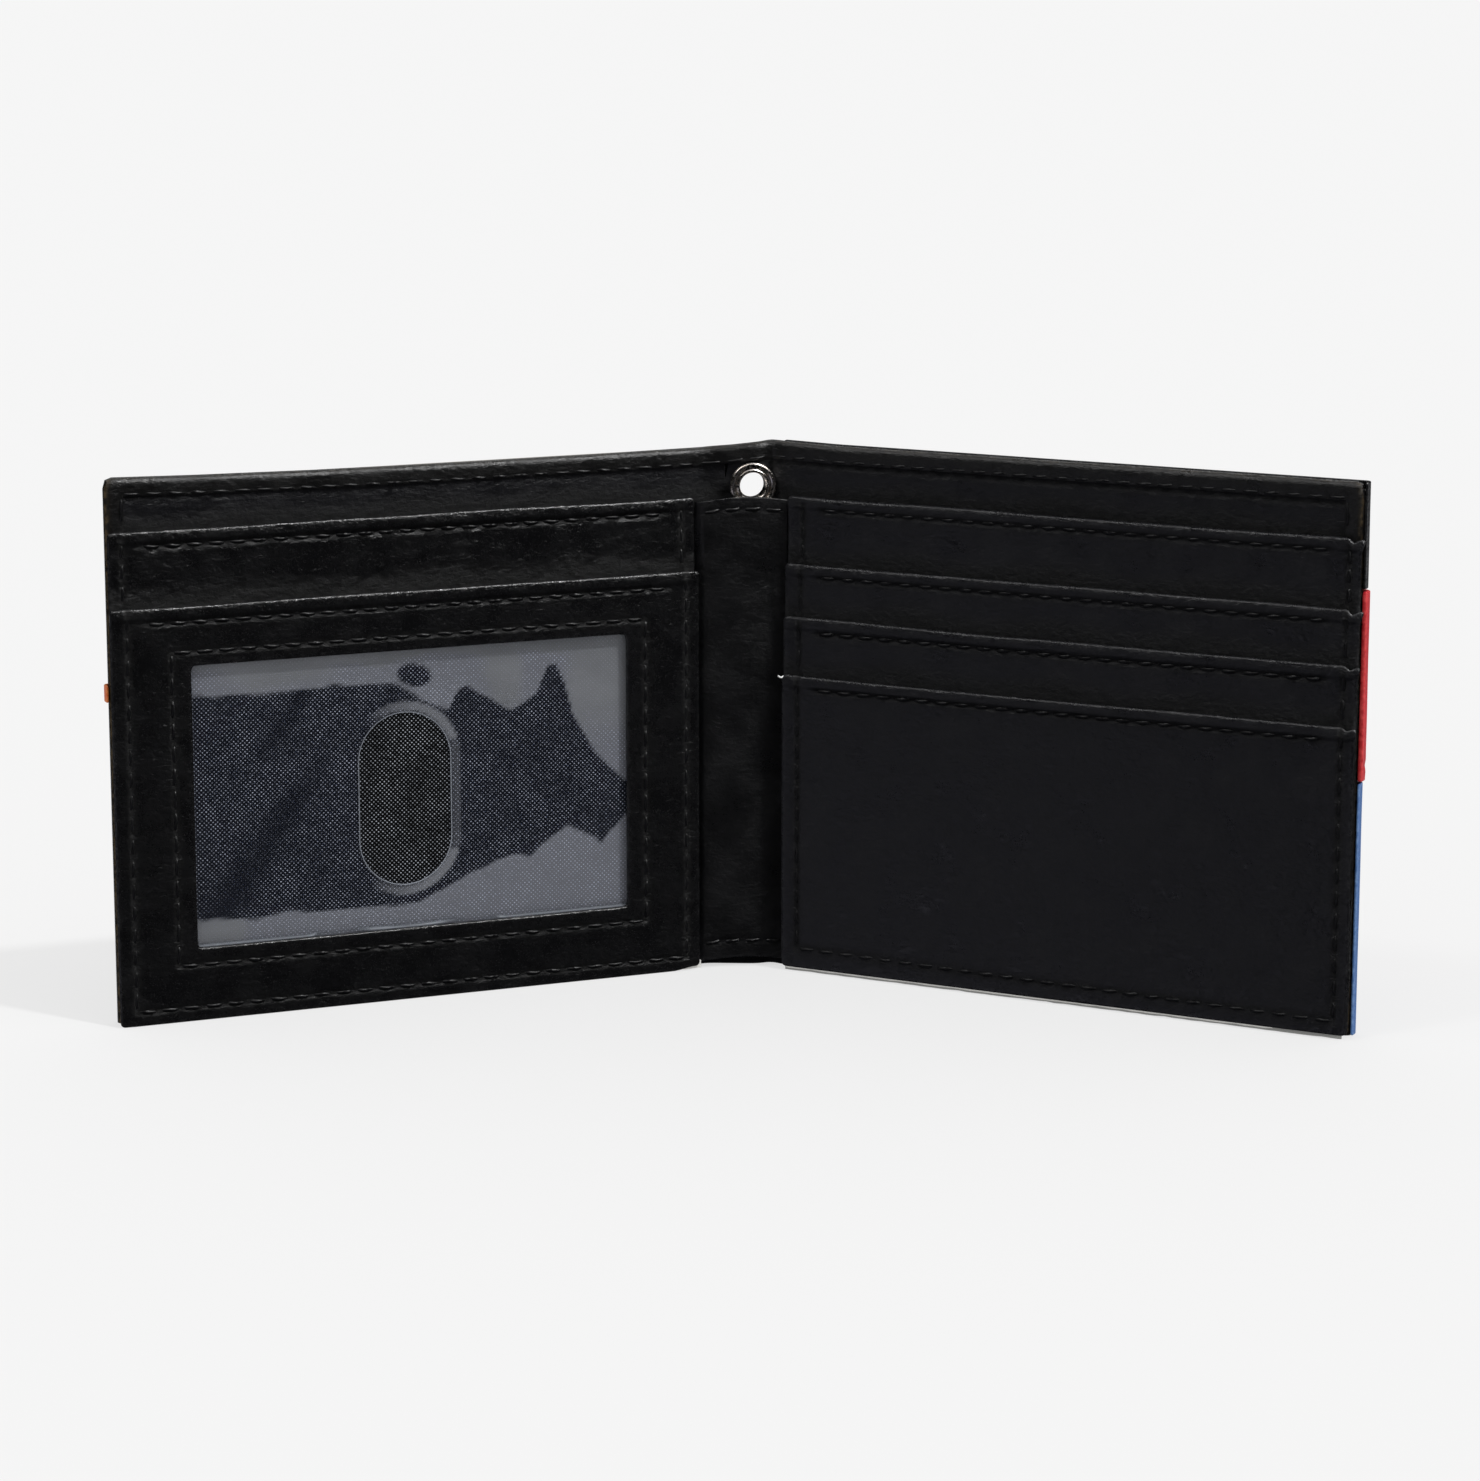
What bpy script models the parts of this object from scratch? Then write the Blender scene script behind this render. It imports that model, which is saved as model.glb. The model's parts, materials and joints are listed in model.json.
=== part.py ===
"""Bifold wallet standing part open: a narrow spine and two pocket-lined halves, each on its own fold.

Metres, +Z up, the pockets facing -Y. Every length below is in millimetres until a helper scales it.
"""

import math

import bmesh
import bpy

MM = 0.001

# Driving dimensions
OPEN_TILT = math.radians(24.5)  # how far each half is turned forward from lying flat
FOLD_X = 5.95  # a fold line, sideways from the middle of the spine
FOLD_Y = 3.4  # a fold line, behind the pockets' front face when the wallet lies flat
STACK_START = 2.6  # from a fold to the pockets' inner edge
STACK_W = 100.0
COVER_H = 89.0
COVER_START = -2.3  # the cover's inner edge, measured from the pockets' inner edge
COVER_END = 100.0
WRAP_END = 100.8  # outer panels wrap this far round the outer edge
EDGE_W = 0.8  # width of the turned edge round the cover
SPINE_HALF = 5.6

# Layers, front and back, measured back from the pockets' front face
FRAME = (0.0, 0.8)
FILM = (1.0, 1.25)
WOVEN = (1.5, 1.85)
WALL = (2.1, 2.8)
CARD_LOWER = (0.0, 0.4)
CARD_MIDDLE = (0.6, 1.0)
CARD_UPPER = (1.2, 1.6)
BACKING = (1.75, 1.95)
LINING = (3.4, 3.8)
BOARD = (4.0, 4.3)
COVER = (3.2, 5.2)
COVER_SKIN = 4.5  # front of the cover's flat skin, behind the turned edge
PANEL = (5.4, 5.75)
PROUD = (5.4, 6.1)
STRIP = (1.4, 1.95)

# Heights of the open edges
LEFT_WALL_TOP = 80.0
FRAME_TOP = 68.0
RIGHT_WALL_TOP = 80.3
UPPER_TOP = 69.2
MIDDLE_TOP = 60.3
LOWER_TOP = 50.6
POCKET_FOOT = 0.4
CARD_FOOT = 1.4

WINDOW = (13.0, 12.0, 87.0, 58.3)  # inner edge, foot, outer edge, top
SLOT_AT = (51.3, 33.5)
SLOT_SIZE = (15.6, 28.6)

EYELET_AT = (1.8, 81.2)
EYELET_BORE = 2.2
EYELET_TUBE = 2.6
EYELET_FLANGE = 3.9
EYELET_HOLE = 2.9
EYELET_END = 6.0  # the tube's rolled back end

THREAD = 0.2
THREAD_OFF = 0.3  # thread centre, in front of the surface it lies on

FRONT_Y = FOLD_Y - (STACK_START + STACK_W) * math.sin(OPEN_TILT) - FOLD_Y * math.cos(OPEN_TILT)
SHIFT_Y = -(FRONT_Y + EYELET_END) / 2  # puts the middle of the whole depth on Y = 0

LEFT, RIGHT = -1, 1


def clear_scene():
    for obj in list(bpy.data.objects):
        bpy.data.objects.remove(obj)


def new_collection(name, hidden=False):
    collection = bpy.data.collections.new(name)
    bpy.context.scene.collection.children.link(collection)
    collection.hide_render = hidden
    return collection


def new_material(name, color, roughness, metallic=0.0, alpha=1.0):
    material = bpy.data.materials.new(name)
    material.use_nodes = True
    shader = material.node_tree.nodes["Principled BSDF"]
    shader.inputs["Base Color"].default_value = (*color, 1.0)
    shader.inputs["Roughness"].default_value = roughness
    shader.inputs["Metallic"].default_value = metallic
    shader.inputs["Alpha"].default_value = alpha
    material.diffuse_color = (*color, alpha)
    return material


def place(obj, parent, finish):
    """Links a piece to the wallet, under the empty of the body it moves with."""
    WALLET.objects.link(obj)
    obj.parent = parent
    own = finish.copy()
    own.name = f"{obj.name}_{finish.name}"
    obj.data.materials.append(own)
    return obj


def new_empty(name, x, y, turn, parent=None):
    obj = bpy.data.objects.new(name, None)
    obj.empty_display_size = 0.01
    obj.location = (x * MM, y * MM, 0)
    obj.rotation_euler = (0, 0, turn)
    obj.parent = parent
    WALLET.objects.link(obj)
    return obj


def rounded(x0, z0, x1, z1, radius=0.0, steps=4):
    """Corners of a rectangle with its corners rounded, going round once."""
    if radius <= 0:
        return [(x0, z0), (x1, z0), (x1, z1), (x0, z1)]
    centres = (
        (x1 - radius, z0 + radius, -90),
        (x1 - radius, z1 - radius, 0),
        (x0 + radius, z1 - radius, 90),
        (x0 + radius, z0 + radius, 180),
    )
    points = []
    for cx, cz, start in centres:
        for step in range(steps + 1):
            angle = math.radians(start + 90 * step / steps)
            points.append((cx + radius * math.cos(angle), cz + radius * math.sin(angle)))
    return points


def circle(cx, cz, radius, steps=24):
    turns = [2 * math.pi * step / steps for step in range(steps)]
    return [(cx + radius * math.cos(t), cz + radius * math.sin(t)) for t in turns]


def flat_curve(name, outlines, thickness):
    curve = bpy.data.curves.new(name, "CURVE")
    curve.dimensions = "2D"
    curve.fill_mode = "BOTH"
    curve.extrude = thickness / 2 * MM
    for outline in outlines:
        spline = curve.splines.new("POLY")
        spline.points.add(len(outline) - 1)
        for point, (u, v) in zip(spline.points, outline):
            point.co = (u * MM, v * MM, 0, 1)
        spline.use_cyclic_u = True
    return curve


def soften(obj, width):
    """Rounds a piece's edges."""
    weld = obj.modifiers.new("weld", "WELD")
    weld.merge_threshold = 0.001 * MM
    bevel = obj.modifiers.new("rounded_edges", "BEVEL")
    bevel.width = width * MM
    bevel.segments = 2
    bevel.limit_method = "ANGLE"
    bevel.angle_limit = math.radians(50)


def upright_plate(name, parent, outlines, layer, finish, edge=0.0):
    """A flat piece standing on edge: outlines are (x, z), and layer is its front and back."""
    obj = bpy.data.objects.new(name, flat_curve(name, outlines, layer[1] - layer[0]))
    obj.rotation_euler = (math.pi / 2, 0, 0)
    obj.location = (0, (layer[0] + layer[1]) / 2 * MM, 0)
    place(obj, parent, finish)
    if edge:
        soften(obj, edge)
    return obj


def half_plate(name, side, box, layer, finish, radius=0.0, holes=(), edge=0.0):
    """A plate of one half: box is (inner edge, foot, outer edge, top) along the half."""
    outlines = [rounded(*box, radius)] + list(holes)
    turned = [[(side * (s + STACK_START), z) for s, z in outline] for outline in outlines]
    depth = [b - FOLD_Y for b in layer]
    return upright_plate(name, HALVES[side], turned, depth, finish, edge)


def half_wrap(name, side, start, z0, z1, layer, end, lip_front, finish):
    """An outer panel whose edge turns round the half's outer edge, as an L seen from above."""
    front, back = layer
    lip = COVER_END + 0.2
    outline = [(start, front), (lip, front), (lip, lip_front), (end, lip_front), (end, back), (start, back)]
    turned = [(side * (s + STACK_START), b - FOLD_Y) for s, b in outline]
    obj = bpy.data.objects.new(name, flat_curve(name, [turned], z1 - z0))
    obj.location = (0, 0, (z0 + z1) / 2 * MM)
    place(obj, HALVES[side], finish)
    soften(obj, 0.15)
    return obj


def new_block(name, low, high):
    """A block between two corners, as an object placed at its middle."""
    size = [(b - a) * MM for a, b in zip(low, high)]
    shape = bmesh.new()
    bmesh.ops.create_cube(shape, size=1.0)
    bmesh.ops.scale(shape, vec=size, verts=shape.verts)
    mesh = bpy.data.meshes.new(name)
    shape.to_mesh(mesh)
    shape.free()
    obj = bpy.data.objects.new(name, mesh)
    obj.location = [(a + b) / 2 * MM for a, b in zip(low, high)]
    return obj


def weld_points(mesh):
    shape = bmesh.new()
    shape.from_mesh(mesh)
    bmesh.ops.remove_doubles(shape, verts=shape.verts, dist=0.001 * MM)
    bmesh.ops.recalc_face_normals(shape, faces=shape.faces)
    shape.to_mesh(mesh)
    shape.free()


def cut(obj, tool):
    tool.display_type = "WIRE"
    tool.hide_render = True
    CUTTERS.objects.link(tool)
    boolean = obj.modifiers.new("cut", "BOOLEAN")
    boolean.operation = "DIFFERENCE"
    boolean.solver = "EXACT"
    boolean.object = tool


def turned_cover(name, parent, x_inner, x_outer, y_shift, x_stop, finish):
    """A cover skin whose top edge turns forward, and its outer edge too where x_stop is short of it."""
    x0, x1 = sorted((x_inner, x_outer))
    front, back = COVER[0] + y_shift, COVER[1] + y_shift
    obj = new_block(name, (x0, front, 0), (x1, back, COVER_H))
    place(obj, parent, finish)
    bevel = obj.modifiers.new("rounded_edges", "BEVEL")
    bevel.width = 0.35 * MM
    bevel.segments = 3
    beyond = 2.0 if x_inner < x_outer else -2.0
    c0, c1 = sorted((x_inner - beyond, x_stop))
    low, high = (c0, front - 1, -2), (c1, COVER_SKIN + y_shift, COVER_H - EDGE_W)
    tool = new_block(f"{name}_recess", low, high)
    tool.parent = parent
    cut(obj, tool)
    return obj


def thread(name, parent, points, closed=False):
    """A row of stitching as one thin cord through (x, y, z) points."""
    curve = bpy.data.curves.new(name, "CURVE")
    curve.dimensions = "3D"
    curve.bevel_depth = THREAD * MM
    curve.bevel_resolution = 1
    curve.use_fill_caps = True
    spline = curve.splines.new("POLY")
    spline.points.add(len(points) - 1)
    for point, place_at in zip(spline.points, points):
        point.co = (*(value * MM for value in place_at), 1)
    spline.use_cyclic_u = closed
    obj = bpy.data.objects.new(name, curve)
    return place(obj, parent, THREAD_FINISH)


def half_thread(name, side, points, closed=False):
    """Stitching on one half, through (along the half, height, depth of the surface, facing) points."""
    placed = []
    for s, z, surface, facing in points:
        placed.append((side * (s + STACK_START), surface + facing * THREAD_OFF - FOLD_Y, z))
    return thread(name, HALVES[side], placed, closed)


def front_line(name, side, z, surface, start=5.6, end=94.4):
    return half_thread(name, side, [(start, z, surface, -1), (end, z, surface, -1)])


def stack_seam(name, side, steps, foot_inner, foot_outer):
    """The seam down one side of the pockets, along their foot and up the other side, stepping over each edge.

    steps are (surface, top edge) of the layers met going down, the first being the wall.
    """
    down = []
    for (surface, top), following in zip(steps, steps[1:] + [None]):
        down.append((top - 1.2 if not down else top + 0.1, surface))
        if following:
            down.append((following[1] + 0.9, surface))
    inner, outer = 2.5, 97.3
    points = [(inner, z, surface, -1) for z, surface in down]
    last = steps[-1][0]
    points += [(inner, foot_inner, last, -1), (outer, foot_outer, last, -1)]
    points += [(outer, z, surface, -1) for z, surface in reversed(down)]
    return half_thread(name, side, points)


def ring(name, profile, finish):
    """A turned ring: profile is (radius, depth) points going round its section."""
    mesh = bpy.data.meshes.new(name)
    points = [(r * MM, 0, -y * MM) for r, y in reversed(profile)]
    edges = [(i, (i + 1) % len(points)) for i in range(len(points))]
    mesh.from_pydata(points, edges, [])
    obj = bpy.data.objects.new(name, mesh)
    obj.rotation_euler = (math.pi / 2, 0, 0)
    obj.location = (EYELET_AT[0] * MM, 0, EYELET_AT[1] * MM)
    place(obj, SPINE, finish)
    screw = obj.modifiers.new("turned", "SCREW")
    screw.axis = "Z"
    screw.steps = screw.render_steps = 32
    screw.use_merge_vertices = True
    screw.merge_threshold = 0.001 * MM
    screw.use_normal_flip = True
    return obj


def build_spine():
    hole = circle(*EYELET_AT, EYELET_HOLE)
    y0 = COVER[1]
    cover = turned_cover("spine_cover", SPINE, -SPINE_HALF, SPINE_HALF, 0, SPINE_HALF + 2, LEATHER)
    drill = bpy.data.objects.new("eyelet_drill", flat_curve("eyelet_drill", [hole], 6))
    drill.rotation_euler = (math.pi / 2, 0, 0)
    drill.location = (0, y0 * MM, 0)
    drill.parent = SPINE
    CUTTERS.objects.link(drill)
    bpy.context.view_layer.update()
    solid = bpy.data.meshes.new_from_object(drill.evaluated_get(bpy.context.evaluated_depsgraph_get()))
    tool = bpy.data.objects.new("eyelet_drill_solid", solid)
    tool.matrix_world = drill.matrix_world.copy()
    bpy.data.objects.remove(drill)
    weld_points(solid)
    cut(cover, tool)
    lining_top = COVER_H - EDGE_W - 0.3
    outline = rounded(-SPINE_HALF, 0, SPINE_HALF, lining_top)
    upright_plate("spine_lining", SPINE, [outline, hole], LINING, LEATHER_SOFT)
    strip = rounded(-SPINE_HALF, 0.8, SPINE_HALF, 80.0, 0.6, 2)
    upright_plate("spine_strip", SPINE, [strip], STRIP, LEATHER, 0.15)
    front = LINING[0] - 0.85
    end = EYELET_END
    tube = [
        (EYELET_BORE, front + 0.5),
        (EYELET_BORE + 0.25, front + 0.1),
        (EYELET_BORE + 0.8, front),
        (EYELET_FLANGE - 0.3, front + 0.25),
        (EYELET_FLANGE, front + 0.6),
        (EYELET_TUBE, front + 0.6),
        (EYELET_TUBE, end),
        (EYELET_BORE, end),
    ]
    ring("eyelet", tube, NICKEL)
    washer_front, washer_back = y0 + 0.15, y0 + 0.65
    washer = [
        (EYELET_TUBE + 0.15, washer_front),
        (EYELET_FLANGE, washer_front),
        (EYELET_FLANGE, washer_front + 0.2),
        (EYELET_FLANGE - 0.3, washer_back - 0.1),
        (EYELET_TUBE + 0.15, washer_back),
    ]
    ring("eyelet_washer", washer, NICKEL)
    surface = STRIP[0] - THREAD_OFF
    thread("spine_strip_top_seam", SPINE, [(-5.0, surface, 78.0), (5.0, surface, 78.0)])
    thread("spine_strip_foot_seam", SPINE, [(-5.0, surface, 4.0), (5.0, surface, 4.0)])
    edge = LINING[0] - THREAD_OFF
    thread("spine_edge_seam", SPINE, [(-5.0, edge, 86.0), (5.0, edge, 86.0)])
    back = COVER[1] + THREAD_OFF
    thread("spine_back_top_seam", SPINE, [(-5.0, back, 86.0), (5.0, back, 86.0)])
    thread("spine_back_foot_seam", SPINE, [(-5.0, back, 2.6), (5.0, back, 2.6)])


def build_shell(side, word):
    """The cover of one half: skin with turned edges, board and lining."""
    inner, outer = side * (COVER_START + STACK_START), side * (COVER_END + STACK_START)
    stop = side * (COVER_END - EDGE_W + STACK_START)
    turned_cover(f"{word}_cover", HALVES[side], inner, outer, -FOLD_Y, stop, LEATHER)
    fits = COVER_END - EDGE_W - 0.3
    top = COVER_H - EDGE_W - 0.3
    half_plate(f"{word}_board", side, (2.0, 0.6, fits, top), BOARD, BOARD_FINISH)
    half_plate(f"{word}_lining", side, (COVER_START, 0, fits, top), LINING, LEATHER_SOFT)
    seam = [(COVER_START + 0.4, 86, LINING[0], -1), (96.4, 86, LINING[0], -1), (96.8, 81.2, LINING[0], -1)]
    half_thread(f"{word}_edge_seam", side, seam)


def build_left():
    build_shell(LEFT, "left")
    half_plate("left_bill_wall", LEFT, (0, POCKET_FOOT, STACK_W, LEFT_WALL_TOP), WALL, LEATHER, 0.6, edge=0.18)
    half_plate("id_pocket_lining", LEFT, (3.0, 4.6, 97.0, 66.6), WOVEN, WOVEN_FINISH, 1.0)
    w, h = SLOT_SIZE[0] / 2, SLOT_SIZE[1] / 2
    slot = rounded(SLOT_AT[0] - w, SLOT_AT[1] - h, SLOT_AT[0] + w, SLOT_AT[1] + h, w - 0.001, 8)
    half_plate("id_window", LEFT, (6.0, 5.6, 94.0, 63.6), FILM, CLEAR, 1.0, [slot])
    window = rounded(*WINDOW, 0.8)
    box = (0, POCKET_FOOT, STACK_W, FRAME_TOP)
    half_plate("id_frame", LEFT, box, FRAME, LEATHER, 0.6, [window], edge=0.2)
    front_line("left_wall_hem_seam", LEFT, 77.5, WALL[0])
    front_line("id_frame_hem_seam", LEFT, 65.4, FRAME[0])
    loop = rounded(9.7, 9.3, 90.2, 60.6, 1.0, 2)
    half_thread("id_window_seam", LEFT, [(s, z, FRAME[0], -1) for s, z in loop], True)
    stack_seam("left_stack_seam", LEFT, [(WALL[0], LEFT_WALL_TOP), (FRAME[0], FRAME_TOP)], 2.3, 2.3)
    upright = (35.0, 58.0, 88.0, COVER_H)
    half_plate("left_cover_block", LEFT, upright, PANEL, RED, 0.0, edge=0.12)
    half_wrap("left_cover_stripe", LEFT, 22.0, 52.6, 55.4, PROUD, WRAP_END, 3.9, ORANGE)
    back = COVER[1]
    out = PROUD[1]
    seam = [(COVER_START + 0.4, 86, back, 1), (32.6, 86, back, 1), (33.8, 86, PANEL[1], 1)]
    seam += [(89.2, 86, PANEL[1], 1), (90.4, 86, back, 1), (97.0, 86, back, 1)]
    seam += [(97.0, 56.8, back, 1), (97.0, 56.0, out, 1), (97.0, 52.0, out, 1), (97.0, 51.2, back, 1)]
    seam += [(97.0, 2.6, back, 1), (COVER_START + 0.4, 2.6, back, 1)]
    half_thread("left_back_seam", LEFT, seam)


def build_right():
    build_shell(RIGHT, "right")
    half_plate("right_bill_wall", RIGHT, (0, POCKET_FOOT, STACK_W, RIGHT_WALL_TOP), WALL, LEATHER, 0.6, edge=0.18)
    half_plate("card_pocket_backing", RIGHT, (0.6, 0.1, 98.6, 66.0), BACKING, PALE)
    pockets = (
        ("upper", CARD_UPPER, 19.0, UPPER_TOP, 67.2),
        ("middle", CARD_MIDDLE, 10.0, MIDDLE_TOP, 57.9),
        ("lower", CARD_LOWER, CARD_FOOT, LOWER_TOP, 48.4),
    )
    for word, layer, foot, top, hem in pockets:
        box = (0, foot, STACK_W, top)
        half_plate(f"card_pocket_{word}", RIGHT, box, layer, LEATHER, 0.6, edge=0.12)
        front_line(f"card_hem_{word}_seam", RIGHT, hem, layer[0])
    front_line("right_wall_hem_seam", RIGHT, 78.3, WALL[0])
    steps = [(WALL[0], RIGHT_WALL_TOP), (CARD_UPPER[0], UPPER_TOP), (CARD_MIDDLE[0], MIDDLE_TOP), (0.0, LOWER_TOP)]
    stack_seam("right_stack_seam", RIGHT, steps, 4.0, 2.9)
    start = COVER_START
    half_wrap("right_cover_top", RIGHT, start, 72.1, COVER_H, PANEL, WRAP_END - 0.2, 3.9, LEATHER)
    half_wrap("right_cover_band", RIGHT, start, 41.4, 71.8, PROUD, WRAP_END, 3.6, RED)
    half_wrap("right_cover_foot", RIGHT, start, 0, 41.1, PANEL, WRAP_END - 0.3, 3.9, BLUE)
    flat, out = PANEL[1], PROUD[1]
    half_thread("right_band_seam", RIGHT, [(start + 0.4, 43.9, out, 1), (100.0, 43.9, out, 1)])
    seam = [(start + 0.4, 86, flat, 1), (97.0, 86, flat, 1), (97.0, 73.4, flat, 1), (97.0, 72.4, out, 1)]
    seam += [(97.0, 46.4, out, 1)]
    half_thread("right_back_top_seam", RIGHT, seam)
    foot = [(start + 0.4, 2.6, flat, 1), (97.0, 2.6, flat, 1), (97.0, 40.0, flat, 1)]
    half_thread("right_back_foot_seam", RIGHT, foot)


clear_scene()
WALLET = new_collection("bifold_wallet")
CUTTERS = new_collection("cutters", hidden=True)

LEATHER = new_material("black_leather", (0.012, 0.012, 0.014), 0.42)
LEATHER_SOFT = new_material("black_lining", (0.014, 0.014, 0.017), 0.5)
WOVEN_FINISH = new_material("woven_nylon", (0.02, 0.022, 0.028), 0.7)
CLEAR = new_material("clear_film", (0.85, 0.88, 0.92), 0.06, 0.0, 0.35)
BOARD_FINISH = new_material("grey_board", (0.32, 0.31, 0.29), 0.9)
THREAD_FINISH = new_material("black_thread", (0.01, 0.01, 0.012), 0.55)
NICKEL = new_material("dark_nickel", (0.42, 0.41, 0.4), 0.25, 1.0)
RED = new_material("red_leather", (0.55, 0.018, 0.022), 0.45)
BLUE = new_material("blue_leather", (0.045, 0.11, 0.3), 0.45)
ORANGE = new_material("orange_leather", (0.75, 0.2, 0.03), 0.5)
PALE = new_material("pale_backing", (0.62, 0.61, 0.58), 0.9)

SPINE = new_empty("spine", 0, SHIFT_Y, 0)
HALVES = {
    LEFT: new_empty("left_fold", LEFT * FOLD_X, FOLD_Y, OPEN_TILT, SPINE),
    RIGHT: new_empty("right_fold", RIGHT * FOLD_X, FOLD_Y, -OPEN_TILT, SPINE),
}

build_spine()
build_left()
build_right()
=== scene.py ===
"""Looks of the bifold wallet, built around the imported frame: leather, seams, clear window, lining and eyelet.

Lengths are in millimetres until to_mesh scales them. On each half, s runs outward from the pockets' spine
edge, b runs back from the pockets' front face and z runs up.
"""

import contextlib
import json
import math

import bmesh
import bpy
import numpy as np
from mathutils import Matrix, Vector, noise


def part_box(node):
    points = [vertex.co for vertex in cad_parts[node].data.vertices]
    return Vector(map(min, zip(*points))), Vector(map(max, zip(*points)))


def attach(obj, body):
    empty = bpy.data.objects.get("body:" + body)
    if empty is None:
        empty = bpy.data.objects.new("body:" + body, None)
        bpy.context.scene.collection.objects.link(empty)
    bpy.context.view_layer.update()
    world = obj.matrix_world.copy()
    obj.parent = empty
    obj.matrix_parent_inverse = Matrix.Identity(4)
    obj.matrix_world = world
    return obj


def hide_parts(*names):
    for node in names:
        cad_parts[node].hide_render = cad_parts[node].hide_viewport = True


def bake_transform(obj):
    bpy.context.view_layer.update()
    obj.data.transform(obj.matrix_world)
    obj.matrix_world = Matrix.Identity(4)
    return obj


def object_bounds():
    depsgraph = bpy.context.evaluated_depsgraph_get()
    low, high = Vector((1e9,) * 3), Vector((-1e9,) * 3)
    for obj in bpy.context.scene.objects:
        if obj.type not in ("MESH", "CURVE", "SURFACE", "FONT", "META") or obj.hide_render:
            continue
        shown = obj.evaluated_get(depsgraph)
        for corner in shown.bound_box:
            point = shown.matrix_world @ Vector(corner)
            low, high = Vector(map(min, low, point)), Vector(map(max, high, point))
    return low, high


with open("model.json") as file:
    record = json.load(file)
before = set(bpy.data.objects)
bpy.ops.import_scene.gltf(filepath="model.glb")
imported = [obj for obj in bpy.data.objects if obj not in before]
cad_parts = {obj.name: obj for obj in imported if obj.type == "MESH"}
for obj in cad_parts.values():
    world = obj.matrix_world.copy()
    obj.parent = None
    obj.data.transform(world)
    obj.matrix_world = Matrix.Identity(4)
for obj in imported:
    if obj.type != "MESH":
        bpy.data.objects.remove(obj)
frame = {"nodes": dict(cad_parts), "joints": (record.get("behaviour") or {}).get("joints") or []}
CAD_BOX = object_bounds()

MM = 0.001
PITCH = 3.6  # stitch length
THREAD = 0.2  # thread radius in the seams' plain nodes
GAP = 0.08  # clearance between layers that lie on each other
SPLIT_X = -3.0  # where the cover's two sheets meet, beside the eyelet
FOLD_SOFTNESS = 1.7  # half the length over which the cover bends at a fold
HEM = 3.0  # width of the cover's turned edge
HEM_SEAM = 2.65  # how far its seam lies in from the edge
HEM_LIFT = 0.28  # how far it stands in front of the lining
EYELET_HOLE = 2.95  # radius of the leather's holes for the eyelet
COVER_BEND = (1.9, 1.0)  # lengths beyond and before the fold, passed to bend with the cover's pieces
STRIP_BEND = (1.0, 2.4)  # the same for the spine strip's pieces
PANEL = 0.4  # thickness of an outer panel
BAND = 0.75  # thickness of the proud red one
END_STEPS = (0.04, 0.1, 0.18, 0.28, 0.42, 0.7)  # close grid lines at a sheet's ends
SEAM_STEPS = (-0.9, -0.6, -0.38, -0.18, 0, 0.18, 0.38, 0.6, 0.9)  # and about a seam
HOLE_STEPS = (0.06, 0.14, 0.26, 0.42, 0.65)  # and outside a hole
OUTER_TRIM = {"left": 0.45, "right": 1.0}  # how far the turned edge stands in from the plain one


# ---------------------------------------------------------------- the frame's places

def joint(name):
    return next(j for j in frame["joints"] if j["name"] == name)


class Half:
    """One half of the wallet: its fold line, its tilt at rest, and where its nodes lie along it."""

    def __init__(self, side, word, front_node):
        hinge = joint(f"{word}_fold")
        self.side = side
        self.word = word
        self.body = f"{word}_half"
        self.tilt = math.radians(-hinge["range_deg"][0])
        self.fold_x = abs(hinge["pos_m"][0]) / MM
        self.fold_y = hinge["pos_m"][1] / MM
        self.start = 0.0
        self.fold_b = 0.0
        self.start = self.span(f"{word}_bill_wall").s0
        self.fold_b = -self.span(front_node).b0

    def places(self, obj):
        """The s, b and z of each point of an object in the half's flat part."""
        co = np.array([v.co for v in obj.data.vertices]) / MM
        dx = self.side * co[:, 0] - self.fold_x
        dy = co[:, 1] - self.fold_y
        s = dx * math.cos(self.tilt) - dy * math.sin(self.tilt) - self.start
        b = dx * math.sin(self.tilt) + dy * math.cos(self.tilt) + self.fold_b
        return s, b, co[:, 2]

    def span(self, node):
        """Lowest and highest s, b and z of a node's points."""
        s, b, z = self.places(frame["nodes"][node])
        return Span(s.min(), b.min(), z.min(), s.max(), b.max(), z.max())

    def at(self, s, b, z):
        """Points of the half's flat part, in the row frame."""
        u = s + self.start
        v = b - self.fold_b
        x = self.side * (self.fold_x + u * math.cos(self.tilt) + v * math.sin(self.tilt))
        y = self.fold_y - u * math.sin(self.tilt) + v * math.cos(self.tilt)
        return np.stack(np.broadcast_arrays(x, y, z), -1)

    def along_cover(self, s, b, z):
        """As at, but the sheet bends at the fold and goes on across the spine."""
        s, b, z = np.broadcast_arrays(np.asarray(s, float), b, z)
        steps = np.linspace(FOLD_SOFTNESS, -14.0, 400)
        t = np.clip((steps + FOLD_SOFTNESS) / (2 * FOLD_SOFTNESS), 0, 1)
        turn = self.tilt * t * t * (3 - 2 * t)
        length = np.diff(steps, prepend=steps[0])
        path_x = self.fold_x + FOLD_SOFTNESS * math.cos(self.tilt) + np.cumsum(length * np.cos(turn))
        path_y = self.fold_y - FOLD_SOFTNESS * math.sin(self.tilt) - np.cumsum(length * np.sin(turn))
        u = s + self.start
        near = u < FOLD_SOFTNESS
        out = self.at(s, b, z)
        a = np.interp(-u, -steps, turn)
        v = b - self.fold_b
        x = self.side * (np.interp(-u, -steps, path_x) + v * np.sin(a))
        y = np.interp(-u, -steps, path_y) + v * np.cos(a)
        out[..., 0] = np.where(near, x, out[..., 0])
        out[..., 1] = np.where(near, y, out[..., 1])
        out[..., 1] += crease(out[..., 0]) * np.clip((u + 14) / 4, 0, 1)
        out[..., 2] -= sag(out[..., 0], out[..., 2])
        return out


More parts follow.
